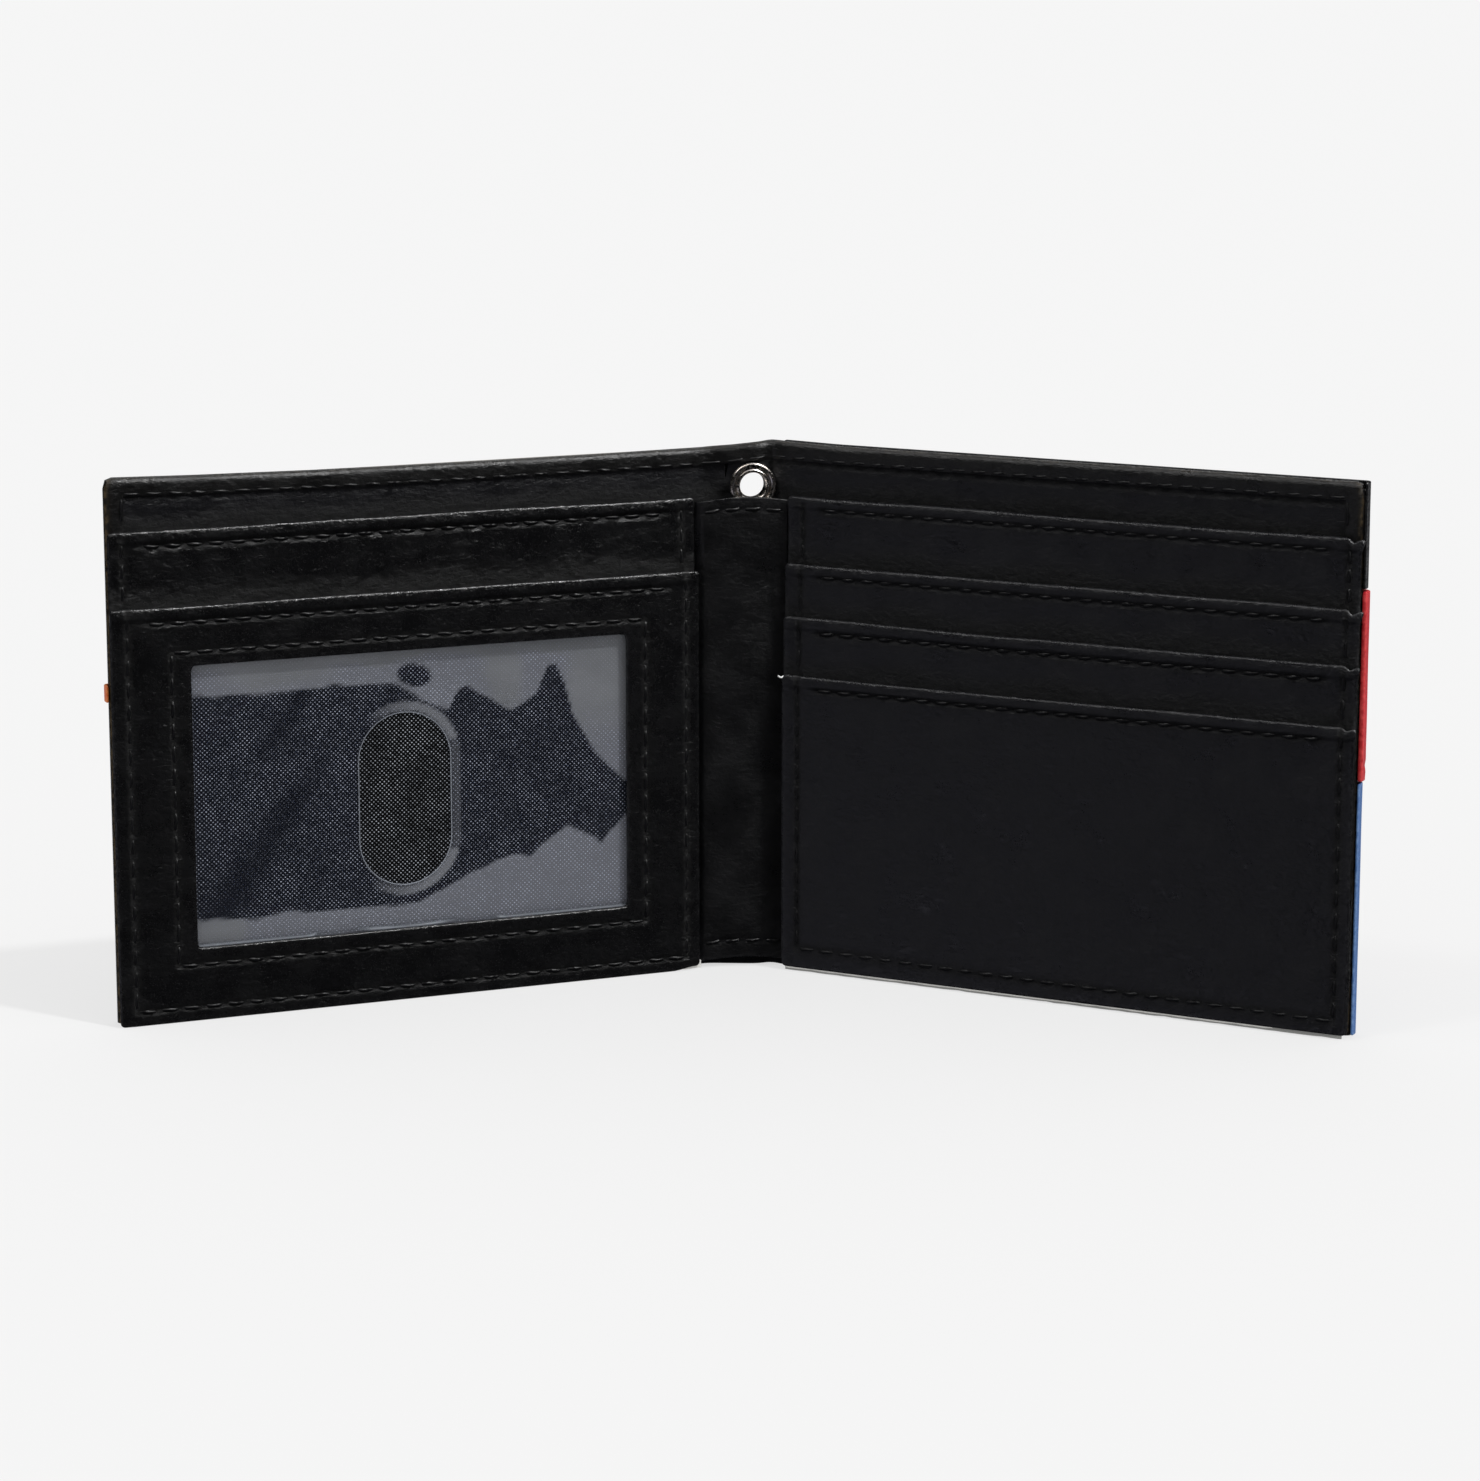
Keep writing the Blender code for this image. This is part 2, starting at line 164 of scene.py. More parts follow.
class Span:
    def __init__(self, s0, b0, z0, s1, b1, z1):
        self.s0, self.b0, self.z0, self.s1, self.b1, self.z1 = s0, b0, z0, s1, b1, z1


def smooth(t):
    t = np.clip(t, 0, 1)
    return t * t * (3 - 2 * t)


def crease(x):
    """How far the cover stands back where it creases beside the right fold."""
    return 0.9 * np.exp(-(((x - 4.7) / 1.7) ** 2))


def drop(x):
    """How far the cover's top edge sags below its full height, from the left end to the right."""
    at = (-100, -86, -68, -45, -20, -7, -2, 2, 4.6, 9, 16, 100)
    fall = (0.35, 0.75, 1.05, 1.15, 1.1, 1.0, 0.6, 0.15, -0.15, -0.1, 0.05, -0.1)
    return np.interp(x, at, fall)


def sag(x, z):
    """How far a point of the cover sinks with its top edge."""
    return drop(x) * smooth((z - 66) / 18)


LEFT = Half(-1, "left", "id_frame")
RIGHT = Half(1, "right", "card_pocket_lower")


# ---------------------------------------------------------------- mesh helpers

def to_mesh(name, points, faces, sharp=40):
    """A mesh object from points in millimetres, smooth except at edges sharper than the angle."""
    mesh = bpy.data.meshes.new(name)
    mesh.from_pydata((np.asarray(points) * MM).tolist(), [], [list(f) for f in faces])
    mesh.validate()
    mesh.shade_smooth()
    mesh.set_sharp_from_angle(angle=math.radians(sharp))
    obj = bpy.data.objects.new(name, mesh)
    bpy.context.scene.collection.objects.link(obj)
    return obj


def point_value(obj, name, values):
    attribute = obj.data.attributes.new(name, "FLOAT", "POINT")
    attribute.data.foreach_set("value", np.asarray(values, np.float32).ravel())


def lines(low, high, step, fine=(), edge=END_STEPS):
    """Even grid lines from low to high, with close ones at both ends and about each fine place."""
    count = max(2, round((high - low) / step))
    found = list(np.linspace(low, high, count + 1))
    for d in edge:
        found += [low + d, high - d]
    for place in fine:
        found += [place + d for d in SEAM_STEPS]
    found = sorted(v for v in found if low <= v <= high)
    kept = [found[0]]
    for v in found[1:]:
        if v - kept[-1] > 0.035:
            kept.append(v)
    kept[-1] = high
    return np.array(kept)


def round_corner(s, z, corner, out, radius, reach=None):
    """Moves grid points near a corner onto round ones. out is +1 or -1 on each axis, away from the centre.

    With reach the corner is a hole's, and the points outside it are moved less and less as far as reach.
    """
    ps = (s - corner[0]) * out[0] + radius
    pz = (z - corner[1]) * out[1] + radius
    inside = (ps > 0) & (pz > 0)
    m = np.maximum(ps, pz)
    scale = m / np.maximum(np.hypot(ps, pz), 1e-9)
    if reach:
        scale = scale + (1 - scale) * smooth((m - radius) / reach)
    scale = np.where(inside, scale, 1.0)
    return corner[0] + (ps * scale - radius) * out[0], corner[1] + (pz * scale - radius) * out[1]


def all_corners(s, z, box, radius, reach=None):
    s0, z0, s1, z1 = box
    for out in ((-1, -1), (1, -1), (1, 1), (-1, 1)):
        corner = (s1 if out[0] > 0 else s0, z1 if out[1] > 0 else z0)
        s, z = round_corner(s, z, corner, out, radius, reach)
    return s, z


def box_distance(s, z, box):
    """Distance inside a box to its nearest side; negative outside."""
    s0, z0, s1, z1 = box
    return np.minimum(np.minimum(s - s0, s1 - s), np.minimum(z - z0, z1 - z))


def round_edge(d, radius):
    """How far a surface falls away at distance d from a rounded edge."""
    t = np.clip(1 - d / radius, 0, 1)
    return radius * (1 - np.sqrt(1 - t * t))


def sheet(name, place, s_lines, z_lines, front, back, edge, radius=0.0, holes=(), open_sides=""):
    """A closed sheet on a grid, with rounded edges, corners and holes.

    front and back give depths at (s, z). holes are (s0, z0, s1, z1, corner radius). open_sides names the
    sides left unrounded: any of "i", "o", "f", "t" for the inner, outer, foot and top ones.
    """
    s, z = np.meshgrid(s_lines, z_lines, indexing="ij")
    box = (s_lines[0], z_lines[0], s_lines[-1], z_lines[-1])
    plain = (s, z)
    sides = {"i": s - box[0], "o": box[2] - s, "f": z - box[1], "t": box[3] - z}
    d = np.minimum.reduce([v for k, v in sides.items() if k not in open_sides])
    keep = np.ones((len(s_lines) - 1, len(z_lines) - 1), bool)
    mid_s = (s_lines[1:] + s_lines[:-1]) / 2
    mid_z = (z_lines[1:] + z_lines[:-1]) / 2
    if radius:
        s, z = all_corners(s, z, box, radius)
    for s0, z0, s1, z1, hole_radius in holes:
        d = np.minimum(d, -box_distance(*plain, (s0, z0, s1, z1)))
        keep &= ~((mid_s[:, None] > s0) & (mid_s[:, None] < s1) & (mid_z > z0) & (mid_z < z1))
        s, z = all_corners(s, z, (s0, z0, s1, z1), hole_radius, 1.2 * hole_radius)
    d = np.maximum(d, 0)
    front_b, back_b = front(s, z), back(s, z)
    fall = np.minimum(round_edge(d, edge), (back_b - front_b) * 0.48)
    points = [place(s, b, z).reshape(-1, 3) for b in (front_b + fall, back_b - fall)]
    count = s.size
    rows, cols = s.shape
    index = np.arange(count).reshape(rows, cols)
    flip = -place(np.zeros(2), np.zeros(2), np.array([0.0, 1.0]))[0, 0] > 0
    faces = []
    for i in range(rows - 1):
        for j in range(cols - 1):
            if not keep[i, j]:
                continue
            a, b, c, e = index[i, j], index[i + 1, j], index[i + 1, j + 1], index[i, j + 1]
            faces.append((a, b, c, e))
            faces.append((e + count, c + count, b + count, a + count))
            if i == 0 or not keep[i - 1, j]:
                faces.append((a, e, e + count, a + count))
            if i == rows - 2 or not keep[i + 1, j]:
                faces.append((b, b + count, c + count, c))
            if j == 0 or not keep[i, j - 1]:
                faces.append((a, a + count, b + count, b))
            if j == cols - 2 or not keep[i, j + 1]:
                faces.append((e, c, c + count, e + count))
    if flip:
        faces = [tuple(reversed(f)) for f in faces]
    obj = to_mesh(name, np.concatenate(points), faces)
    point_value(obj, "edge", np.tile(np.exp(-((d / 0.5) ** 2)).ravel(), 2))
    flat = obj.data.attributes.new("flat", "FLOAT_VECTOR", "POINT")
    own = np.stack([s, z, np.zeros_like(s)], -1).reshape(-1, 3)
    flat.data.foreach_set("vector", np.concatenate([own, own + (0, 0, 1)]).astype(np.float32).ravel())
    if not keep.all():
        with shape_of(obj) as shape:
            unused = [v for v in shape.verts if not v.link_faces]
            bmesh.ops.delete(shape, geom=unused, context="VERTS")
    return obj


@contextlib.contextmanager
def shape_of(obj):
    """An object's mesh as a bmesh, written back afterwards."""
    shape = bmesh.new()
    shape.from_mesh(obj.data)
    yield shape
    shape.to_mesh(obj.data)
    shape.free()


def level(b):
    """A sheet's face that lies flat at one depth."""
    return lambda s, z: b + 0 * s


def tube(rings, sides, first=0, closed=False):
    """The faces between rings of points in a row. closed joins the last ring to the first."""
    for k in range(rings if closed else rings - 1):
        a, b = first + k * sides, first + (k + 1) % rings * sides
        for j in range(sides):
            n = (j + 1) % sides
            yield a + j, a + n, b + n, b + j


def waves(s, z, length, depth, seed, stretch=1.0):
    """A smooth uneven surface, as heights at each point."""
    places = zip(np.ravel(s) / length, np.ravel(z) / length * stretch)
    return depth * np.array([noise.noise(Vector((a, b, seed))) for a, b in places]).reshape(np.shape(s))


def seam_distance(s, z, line):
    """Distance along a straight seam, and distance from it."""
    (s0, z0), (s1, z1) = line
    length = math.hypot(s1 - s0, z1 - z0)
    ds, dz = (s1 - s0) / length, (z1 - z0) / length
    t = (s - s0) * ds + (z - z0) * dz
    across = -(s - s0) * dz + (z - z0) * ds
    beyond = np.maximum(np.maximum(-t, t - length), 0)
    return t, np.hypot(across, beyond)


def seam_groove(s, z, seams, depth=0.17, width=0.5):
    """How far the leather is pulled in along straight seams, deepest at the needle holes."""
    total = np.zeros_like(s)
    for line in seams:
        t, near = seam_distance(s, z, line)
        hole = 0.5 + 0.5 * np.cos(2 * math.pi * t / PITCH)
        total = np.maximum(total, depth * np.exp(-((near / width) ** 2)) * (0.6 + 0.4 * hole**2))
        total -= 0.05 * np.exp(-(((near - 1.15) / 0.5) ** 2)) * (0.7 + 0.3 * (1 - hole))
    return total


def stitches(name, runs, place, body, nodes, radius=0.25, pitch=PITCH, seed=1):
    """Rows of separate stitches, each a twisted thread from hole to hole.

    A run is its path of (s, b, z) points and the way out of the surface: -1 to the front and 1 to the back.
    """
    sides, rings = 7, 9
    proud = 0.1
    points, faces = [], []
    turn = np.linspace(0, 2 * math.pi, sides, endpoint=False)
    serial = 0
    for path, facing in runs:
        path = np.array(path, float)
        step = np.linalg.norm(np.diff(path[:, [0, 2]], axis=0), axis=1)
        reach = np.concatenate([[0], np.cumsum(step)])
        count = max(1, round(reach[-1] / pitch))
        own_pitch = reach[-1] / count
        for i in range(count):
            serial += 1
            wobble = noise.noise(Vector((serial * 1.7, seed * 3.1, 0.5)))
            lean = 0.07 + 0.06 * wobble
            a, e = (i + 0.08) * own_pitch, (i + 0.92) * own_pitch
            t = np.linspace(0, 1, rings)
            along = a + (e - a) * t
            centre = np.stack([np.interp(along, reach, path[:, k]) for k in range(3)], -1)
            arch = np.sin(math.pi * t) ** 0.55
            centre[:, 1] += facing * (proud + 0.03 * wobble) * arch - facing * radius * 1.5 * (1 - arch)
            heading = np.gradient(centre, axis=0)
            flat = heading[:, [0, 2]] / np.maximum(np.linalg.norm(heading[:, [0, 2]], axis=1), 1e-9)[:, None]
            side_way = np.stack([-flat[:, 1], np.zeros(rings), flat[:, 0]], -1)
            centre += side_way * (lean * 2 * (t - 0.5))[:, None]
            size = radius * (0.72 + 0.28 * np.sin(math.pi * np.clip(t, 0.02, 0.98)) ** 0.5)
            size *= 1 + 0.08 * wobble
            first = len(points)
            for k in range(rings):
                ply = 1 + 0.13 * np.cos(2 * turn - 9.0 * t[k] + serial)
                up = np.array([0.0, facing, 0.0])
                ring = centre[k] + size[k] * ply[:, None] * (
                    np.cos(turn)[:, None] * side_way[k] + np.sin(turn)[:, None] * up * 0.9
                )
                points.extend(ring)
            faces.extend(tube(rings, sides, first))
            faces.append([first + j for j in reversed(range(sides))])
            faces.append([first + (rings - 1) * sides + j for j in range(sides)])
    obj = to_mesh(name, place(*np.array(points).T), faces, sharp=60)
    outward(obj)
    settle(obj, THREAD_LOOK, body, nodes)
    return obj


def seam(node, runs, place, body, seed):
    """The stitches of one seam node."""
    stitches(node.replace("_seam", "_stitches"), runs, place, body, [node], seed=seed)


def outward(obj):
    """Turns every closed part of a mesh so that its faces look out."""
    with shape_of(obj) as shape:
        bmesh.ops.recalc_face_normals(shape, faces=shape.faces)


def dress(obj, material):
    obj.data.materials.clear()
    obj.data.materials.append(material)


def settle(obj, material, body, nodes):
    """Dresses a piece, hangs it on its body's empty, and hides the plain nodes it stands for."""
    dress(obj, material)
    if nodes:
        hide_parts(*nodes)
    if body:
        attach(obj, body)


def bend(obj, half, beyond, before):
    """Bakes a piece's transform into its mesh; the piece is not bent about the fold."""
    if half.side < 0:
        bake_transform(obj)
    else:
        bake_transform(obj)


# ---------------------------------------------------------------- materials

class Look:
    """A node material with its Principled shader and short calls to add nodes."""

    def __init__(self, name):
        self.material = bpy.data.materials.new(name)
        self.material.use_nodes = True
        self.tree = self.material.node_tree
        self.shader = self.tree.nodes["Principled BSDF"]

    def set(self, **values):
        for name, value in values.items():
            self.shader.inputs[name.replace("_", " ")].default_value = value

    def node(self, kind, links=(), **settings):
        """A node with its settings. links are (input, value or source) pairs."""
        made = self.tree.nodes.new(kind)
        for name, value in settings.items():
            setattr(made, name, value)
        for name, value in links:
            self.feed(made.inputs[name], value)
        return made

    def feed(self, socket, value):
        """Sets an input, or links a source to it."""
        if isinstance(value, bpy.types.NodeSocket):
            self.tree.links.new(value, socket)
        elif socket.type == "RGBA":
            socket.default_value = (*value, 1.0)
        else:
            socket.default_value = value

    def drive(self, **sources):
        for name, source in sources.items():
            self.feed(self.shader.inputs[name.replace("_", " ")], source)

    def coordinates(self, stretch=(1, 1, 1)):
        """Position on the object, in millimetres times stretch."""
        place = self.node("ShaderNodeTexCoord").outputs["Object"]
        scale = [1000 * v for v in stretch]
        return self.node("ShaderNodeMapping", [("Scale", scale), ("Vector", place)]).outputs["Vector"]

    def noise(self, vector, size, detail=2.0, rough=0.55, output="Fac"):
        links = [("Scale", 1 / size), ("Detail", detail), ("Roughness", rough), ("Vector", vector)]
        return self.node("ShaderNodeTexNoise", links).outputs[output]

    def ramp(self, value, low, high, start=0.0, end=1.0):
        links = [("From Min", start), ("From Max", end), ("To Min", low), ("To Max", high), ("Value", value)]
        return self.node("ShaderNodeMapRange", links).outputs["Result"]

    def math(self, operation, *values):
        return self.node("ShaderNodeMath", enumerate(values), operation=operation).outputs["Value"]

    def times(self, a, b):
        return self.math("MULTIPLY", a, b)

    def plus(self, a, b):
        return self.math("ADD", a, b)

    def blend(self, factor, first, second):
        made = self.node("ShaderNodeMix", [("Factor", factor)], data_type="RGBA")
        for socket, value in zip([i for i in made.inputs if i.type == "RGBA"], (first, second)):
            self.feed(socket, value)
        return next(o for o in made.outputs if o.type == "RGBA")

    def patchy(self, source, first, second):
        """A colour that changes between two with a noise."""
        return self.blend(self.ramp(source, 0, 1, 0.35, 0.65), first, second)

    def bump(self, height, strength, distance, below=None):
        links = [("Strength", strength), ("Distance", distance * MM), ("Height", height)]
        if below is not None:
            links.append(("Normal", below))
        return self.node("ShaderNodeBump", links).outputs["Normal"]

    def value(self, name, output="Fac"):
        return self.node("ShaderNodeAttribute", attribute_name=name).outputs[output]


def scaled(color, factor):
    return tuple(v * factor for v in color)


def leather(name, color, worn, rough=0.27, gloss=0.5, mottle=0.5):
    """Grained PU leather: fine pebbles, soft creases, uneven gloss, edges worn lighter, and painted shade, with
    more roughness, above the next layer's lip and along seams.
    """
    look = Look(name)
    at = look.coordinates()
    wander = look.noise(at, 1 / 0.9, rough=0.5, output="Color")
    sum_of = [(0, wander), (1, (0.9, 0.9, 0.9)), (2, at)]
    drifted = look.node("ShaderNodeVectorMath", sum_of, operation="MULTIPLY_ADD")
    grain = [("Scale", 1 / 0.8), ("Vector", drifted.outputs["Vector"])]
    pebbles = look.node("ShaderNodeTexVoronoi", grain, feature="SMOOTH_F1").outputs["Distance"]
    fine = look.noise(at, 0.25, 3.0, 0.7)
    soft = look.noise(at, 6.0, 4.0, 0.6)
    creases = look.noise(look.coordinates((0.55, 0.55, 1.3)), 1.6, 5.0, 0.62)
    folds = look.ramp(look.math("ABSOLUTE", look.math("SUBTRACT", creases, 0.5)), 0, 1, 0.0, 0.12)
    edge, matte_and_painted_shade = look.value("edge"), look.value("matte_and_painted_shade")
    shade = look.blend(look.ramp(pebbles, 0, 1, 0.15, 0.8), color, scaled(color, 1 - 0.5 * mottle))
    shade = look.blend(look.ramp(soft, 0, 0.7, 0.35, 0.68), shade, scaled(color, 1 + 0.9 * mottle))
    # painted shade: the base colour falls to a quarter above the next layer's lip and along the seams
    shade = look.blend(matte_and_painted_shade, shade, scaled(color, 0.25))
    rubbed = look.times(edge, look.ramp(look.noise(at, 0.9, 3.0), 0.1, 1.0, 0.4, 0.62))
    roughness = look.times(look.ramp(soft, 0.72, 1.32, 0.32, 0.68), rough)
    roughness = look.plus(roughness, look.times(matte_and_painted_shade, 0.42))
    roughness = look.plus(roughness, look.ramp(fine, -0.05, 0.09, 0.3, 0.7))
    normal = look.bump(soft, 0.5, 0.5)
    normal = look.bump(folds, 0.32, 0.14, normal)
    normal = look.bump(look.ramp(pebbles, 1, 0, 0.1, 0.8), 0.55, 0.09, normal)
    look.drive(
        Base_Color=look.blend(rubbed, shade, worn),
        Roughness=look.math("SUBTRACT", roughness, look.times(edge, 0.1)),
        Normal=look.bump(fine, 0.5, 0.05, normal),
    )
    look.set(Specular_IOR_Level=gloss)
    return look.material


def thread_look(name, color):
    look = Look(name)
    strands = look.noise(look.coordinates(), 0.12, 2.0)
    look.drive(
        Base_Color=look.patchy(strands, color, scaled(color, 2.2)),
        Roughness=look.ramp(strands, 0.3, 0.55, 0.3, 0.7),
        Normal=look.bump(strands, 0.5, 0.05),
    )
    look.set(Specular_IOR_Level=0.4)
    return look.material


def woven_look(name):
    """Black nylon cloth: rows of short floats, each row set half a pitch over, with painted glints on the
    floats, brighter on some at random.

    Where the vinyl over it stands off, a painted reflection makes the cloth paler, and a painted shadow streak
    dims some glints; in the thumb slot it is bare.
    """
    look = Look(name)
    across, up = 0.74, 0.36
    flat = look.node("ShaderNodeSeparateXYZ", [("Vector", look.value("flat", "Vector"))]).outputs
    height = look.math("DIVIDE", flat["Y"], up)
    row = look.math("FLOOR", height)
    shift = look.times(look.math("MODULO", row, 2.0), 0.5)
    shifted = look.plus(look.math("DIVIDE", flat["X"], across), shift)
    column = look.math("FLOOR", shifted)
    far = []
    for place, narrow in ((shifted, 5.2), (height, 3.0)):
        off = look.math("SUBTRACT", look.math("FRACT", place), 0.5)
        off = look.times(look.math("ABSOLUTE", off), narrow)
        far.append(look.times(off, off))
    dot = look.ramp(look.plus(*far), 1.0, 0.0, 0.1, 1.0)
    cell = look.node("ShaderNodeCombineXYZ", [("X", column), ("Y", row)]).outputs["Vector"]
    chance = look.node("ShaderNodeTexWhiteNoise", [("Vector", cell)], noise_dimensions="2D").outputs["Value"]
    uneven = look.ramp(look.noise(look.coordinates(), 6.0, 3.0), 0.55, 1.3, 0.3, 0.7)
    # painted glints: the floats' pale colour, dimmed under painted shadow and painted reflection
    lit = look.times(look.times(look.times(dot, look.ramp(chance, 0.25, 1.0)), uneven), look.value("shown"))
    tone = look.noise(look.coordinates((0.6, 0.6, 1.2)), 9.0, 3.0)
    pale = look.patchy(tone, (0.12, 0.125, 0.135), (0.145, 0.15, 0.162))
    bare = look.value("bare")
    # painted reflection: the ground is pale where the vinyl stands off, and paler in patches
    ground = look.blend(look.value("painted_reflection"), (0.0035, 0.0045, 0.0085), (0.115, 0.12, 0.138))
    ground = look.blend(look.value("painted_reflection_haze"), ground, pale)
    ground = look.blend(bare, ground, (0.0003, 0.0003, 0.0004))
    # the painted glints' colour, in and out of the slot
    bright = look.blend(bare, (0.4, 0.43, 0.52), (0.42, 0.45, 0.5))
    look.drive(
        Base_Color=look.blend(lit, ground, bright),
        Roughness=look.ramp(chance, 0.5, 0.75),
        Normal=look.bump(dot, 0.5, 0.08),
    )
    look.set(Specular_IOR_Level=0.2)
    return look.material


def film_look(name):
    """Clear vinyl, glossy and slightly rippled, with a painted highlight making it pale at its cut edges."""
    look = Look(name)
    painted_edge_highlight = look.value("painted_edge_highlight")
    ripple = look.noise(look.coordinates(), 3.0, 2.0)
    tint = look.patchy(ripple, (0.006, 0.009, 0.02), (0.012, 0.015, 0.026))
    look.drive(
        Base_Color=look.blend(painted_edge_highlight, tint, (0.42, 0.45, 0.5)),
        Alpha=look.math("MAXIMUM", look.times(painted_edge_highlight, 0.95), 0.04),
        Normal=look.bump(ripple, 0.12, 0.1),
    )
    look.set(Roughness=0.09, Specular_IOR_Level=0.5)
    return look.material


def metal_look(name):
    """Nickel, tarnished in places and brushed round."""
    look = Look(name)
    tarnish = look.noise(look.coordinates(), 0.8, 4.0)
    rub = look.noise(look.coordinates((0.3, 1, 1)), 0.15, 2.0)
    look.drive(
        Base_Color=look.patchy(tarnish, (0.85, 0.77, 0.68), (0.5, 0.48, 0.47)),
        Roughness=look.ramp(rub, 0.16, 0.34, 0.3, 0.7),
        Normal=look.bump(rub, 0.2, 0.02),
    )
    look.set(Metallic=1.0)
    return look.material


def board_look(name, color):
    """Layered paper or fibre board, with a fibrous, speckled face."""
    look = Look(name)
    fibres = look.noise(look.coordinates((1, 1, 3)), 0.35, 4.0)
    look.drive(
        Base_Color=look.blend(fibres, scaled(color, 0.7), color),
        Normal=look.bump(fibres, 0.6, 0.08),
    )
    look.set(Roughness=0.9, Specular_IOR_Level=0.2)
    return look.material


BLACK = leather("black_pu_leather", (0.0021, 0.0021, 0.0024), (0.009, 0.009, 0.0095))
# painted sheen: a bluer, lighter copy of the black leather for the right half's pockets, standing in for a
# bluish reflection from the front left
BLACK_PAINTED_SHEEN = leather("black_pu_leather_painted_sheen", (0.0026, 0.0026, 0.0036), (0.01, 0.01, 0.0115), rough=0.37)
LINING = leather("black_pu_lining", (0.0024, 0.0024, 0.0034), (0.008, 0.008, 0.009), rough=0.38)
HEM_LOOK = leather("black_turned_edge", (0.0028, 0.0027, 0.0027), (0.075, 0.05, 0.02), rough=0.37)
STRIP_LOOK = leather("black_spine_leather", (0.0021, 0.0021, 0.0025), (0.008, 0.008, 0.009), rough=0.37)
RED = leather("red_pu_leather", (0.42, 0.012, 0.018), (0.6, 0.05, 0.05), 0.45, 0.4, mottle=0.14)
BLUE = leather("blue_pu_leather", (0.05, 0.12, 0.3), (0.12, 0.22, 0.42), 0.45, 0.4, mottle=0.14)
ORANGE = leather("orange_pu_leather", (0.5, 0.09, 0.014), (0.6, 0.2, 0.06), 0.45, 0.4, mottle=0.14)
THREAD_LOOK = thread_look("black_waxed_thread", (0.0012, 0.0012, 0.0015))
NUB_LOOK = thread_look("pale_thread_end", (0.5, 0.5, 0.5))
WOVEN = woven_look("woven_nylon")
FILM = film_look("clear_vinyl")
NICKEL = metal_look("dark_nickel")
PALE = board_look("pale_backing_paper", (0.75, 0.74, 0.71))
GREY_PLY = board_look("grey_backing_ply", (0.3, 0.3, 0.29))
BOARD = board_look("grey_board", (0.32, 0.31, 0.29))


# ---------------------------------------------------------------- pockets, frame and walls

def seam_box(half, node):
    """The rectangle that a seam's thread runs round, from its CAD node."""
    span = half.span(node)
    return span.s0 + THREAD, span.z0 + THREAD, span.s1 - THREAD, span.z1 - THREAD


def around(box):
    s0, z0, s1, z1 = box
    return [((s0, z0), (s1, z0)), ((s1, z0), (s1, z1)), ((s1, z1), (s0, z1)), ((s0, z1), (s0, z0))]


def across(half, node):
    """A hem seam's line, from its CAD node."""
    s0, z0, s1, z1 = seam_box(half, node)
    z = (z0 + z1) / 2
    return ((s0, z), (s1, z))


def opening(node, margin, inset):
    """The box of the opening in a node of the left half, read from the node's own inner points."""
    span = LEFT.span(node)
    s, _, z = LEFT.places(frame["nodes"][node])
    inner = box_distance(s, z, (span.s0, span.z0, span.s1, span.z1)) > margin
    s, z = s[inner], z[inner]
    return s.min() + inset, z.min() + inset, s.max() - inset, z.max() - inset


WINDOW = opening("id_frame", 6, 0.1)
SLOT = opening("id_window", 3, 0.0)


def fine_places(seams, axis):
    return [a[axis] for a, b in seams if abs(a[axis] - b[axis]) < 0.5]


def pocket(name, half, node, look, seams, swell=0.22, z_from=None, step=PITCH / 4, hole=None, rough=0.07,
           ear=0.0, wrinkles=0.0, grow=(0.0, 0.0, 0.0), foot_lift=0.0):
    """A leather sheet standing in a half: its open top edge folded over, pulled in along its seams.

    grow is how far it reaches past its plain node at the spine, the outer edge and the foot.
    """
    hem = 2.4
    span = half.span(node)
    span.s0, span.s1, span.z0 = span.s0 - grow[0], span.s1 + grow[1], span.z0 - grow[2]
    top = span.z1
    start = span.z0 if z_from is None else z_from
    s_fine, z_fine = fine_places(seams, 0), fine_places(seams, 1)
    if hole:
        s_fine += [hole[0] - 0.7, hole[2] + 0.7]
        z_fine += [hole[1] - 0.7, hole[3] + 0.7]
    s_lines = lines(span.s0, span.s1, step, s_fine)
    z_lines = lines(start, top, step, z_fine + [top - hem])
    if hole:
        s_lines = with_hole(s_lines, hole[0], hole[2])
        z_lines = with_hole(z_lines, hole[1], hole[3])
    if z_from is not None:
        z_lines = np.concatenate([np.linspace(span.z0, start, 8)[:-1], z_lines])

    def front(s, z):
        folded = smooth((z - (top - hem)) / 0.9)
        puffed = folded * (1 - 0.35 * smooth((z - top + 0.9) / 0.9))
        depth = span.b0 - swell * puffed + seam_groove(s, z, seams)
        depth += waves(s, z, 17.0, rough, half.side * 3.3 + span.b0)
        depth += waves(s, z, 5.5, rough * 0.4, half.side + 9 + span.b0, 1.6)
        if wrinkles:
            crumpled = waves(s, z, 1.9, wrinkles, 4.2, 1.7) + waves(s, z, 0.85, wrinkles * 0.5, 7.7, 1.3)
            depth += crumpled * (1 - 0.7 * folded)
        margin = np.maximum(smooth((2.3 - s) / 1.6), smooth((s - span.s1 + 2.5) / 1.6))
        return depth + 0.16 * margin

    def place(s, b, z):
        near_top = smooth((z - (top - 2.6)) / 2.4)
        dip = ear * np.exp(-(((s - span.s1 + 1.2) / 0.6) ** 2))
        curl = 0.8 * ear * smooth((s - span.s1 + 1.5) / 1.5)
        flare = 0.6 * ear * smooth((s - span.s1 + 1.2) / 1.2)
        wander = waves(s, np.zeros_like(s), 24.0, 0.22, top) * near_top
        lifted = foot_lift * smooth((5 - s) / 4) * smooth((span.z0 + 3 - z) / 3)
        return half.at(s + near_top * flare, b + near_top * curl, z - near_top * dip + wander + lifted)

    holes = [hole] if hole else []
    obj = sheet(name, place, s_lines, z_lines, front, level(span.b1), 0.36, 0.8, holes)
    s, _, z = half.places(obj)
    # painted shade above the lip of the layer in front, and along the seams
    paint_shade_and_matte(obj, s, z, -10 if z_from is None else z_from + 3, seams)
    settle(obj, look, half.body, [node])


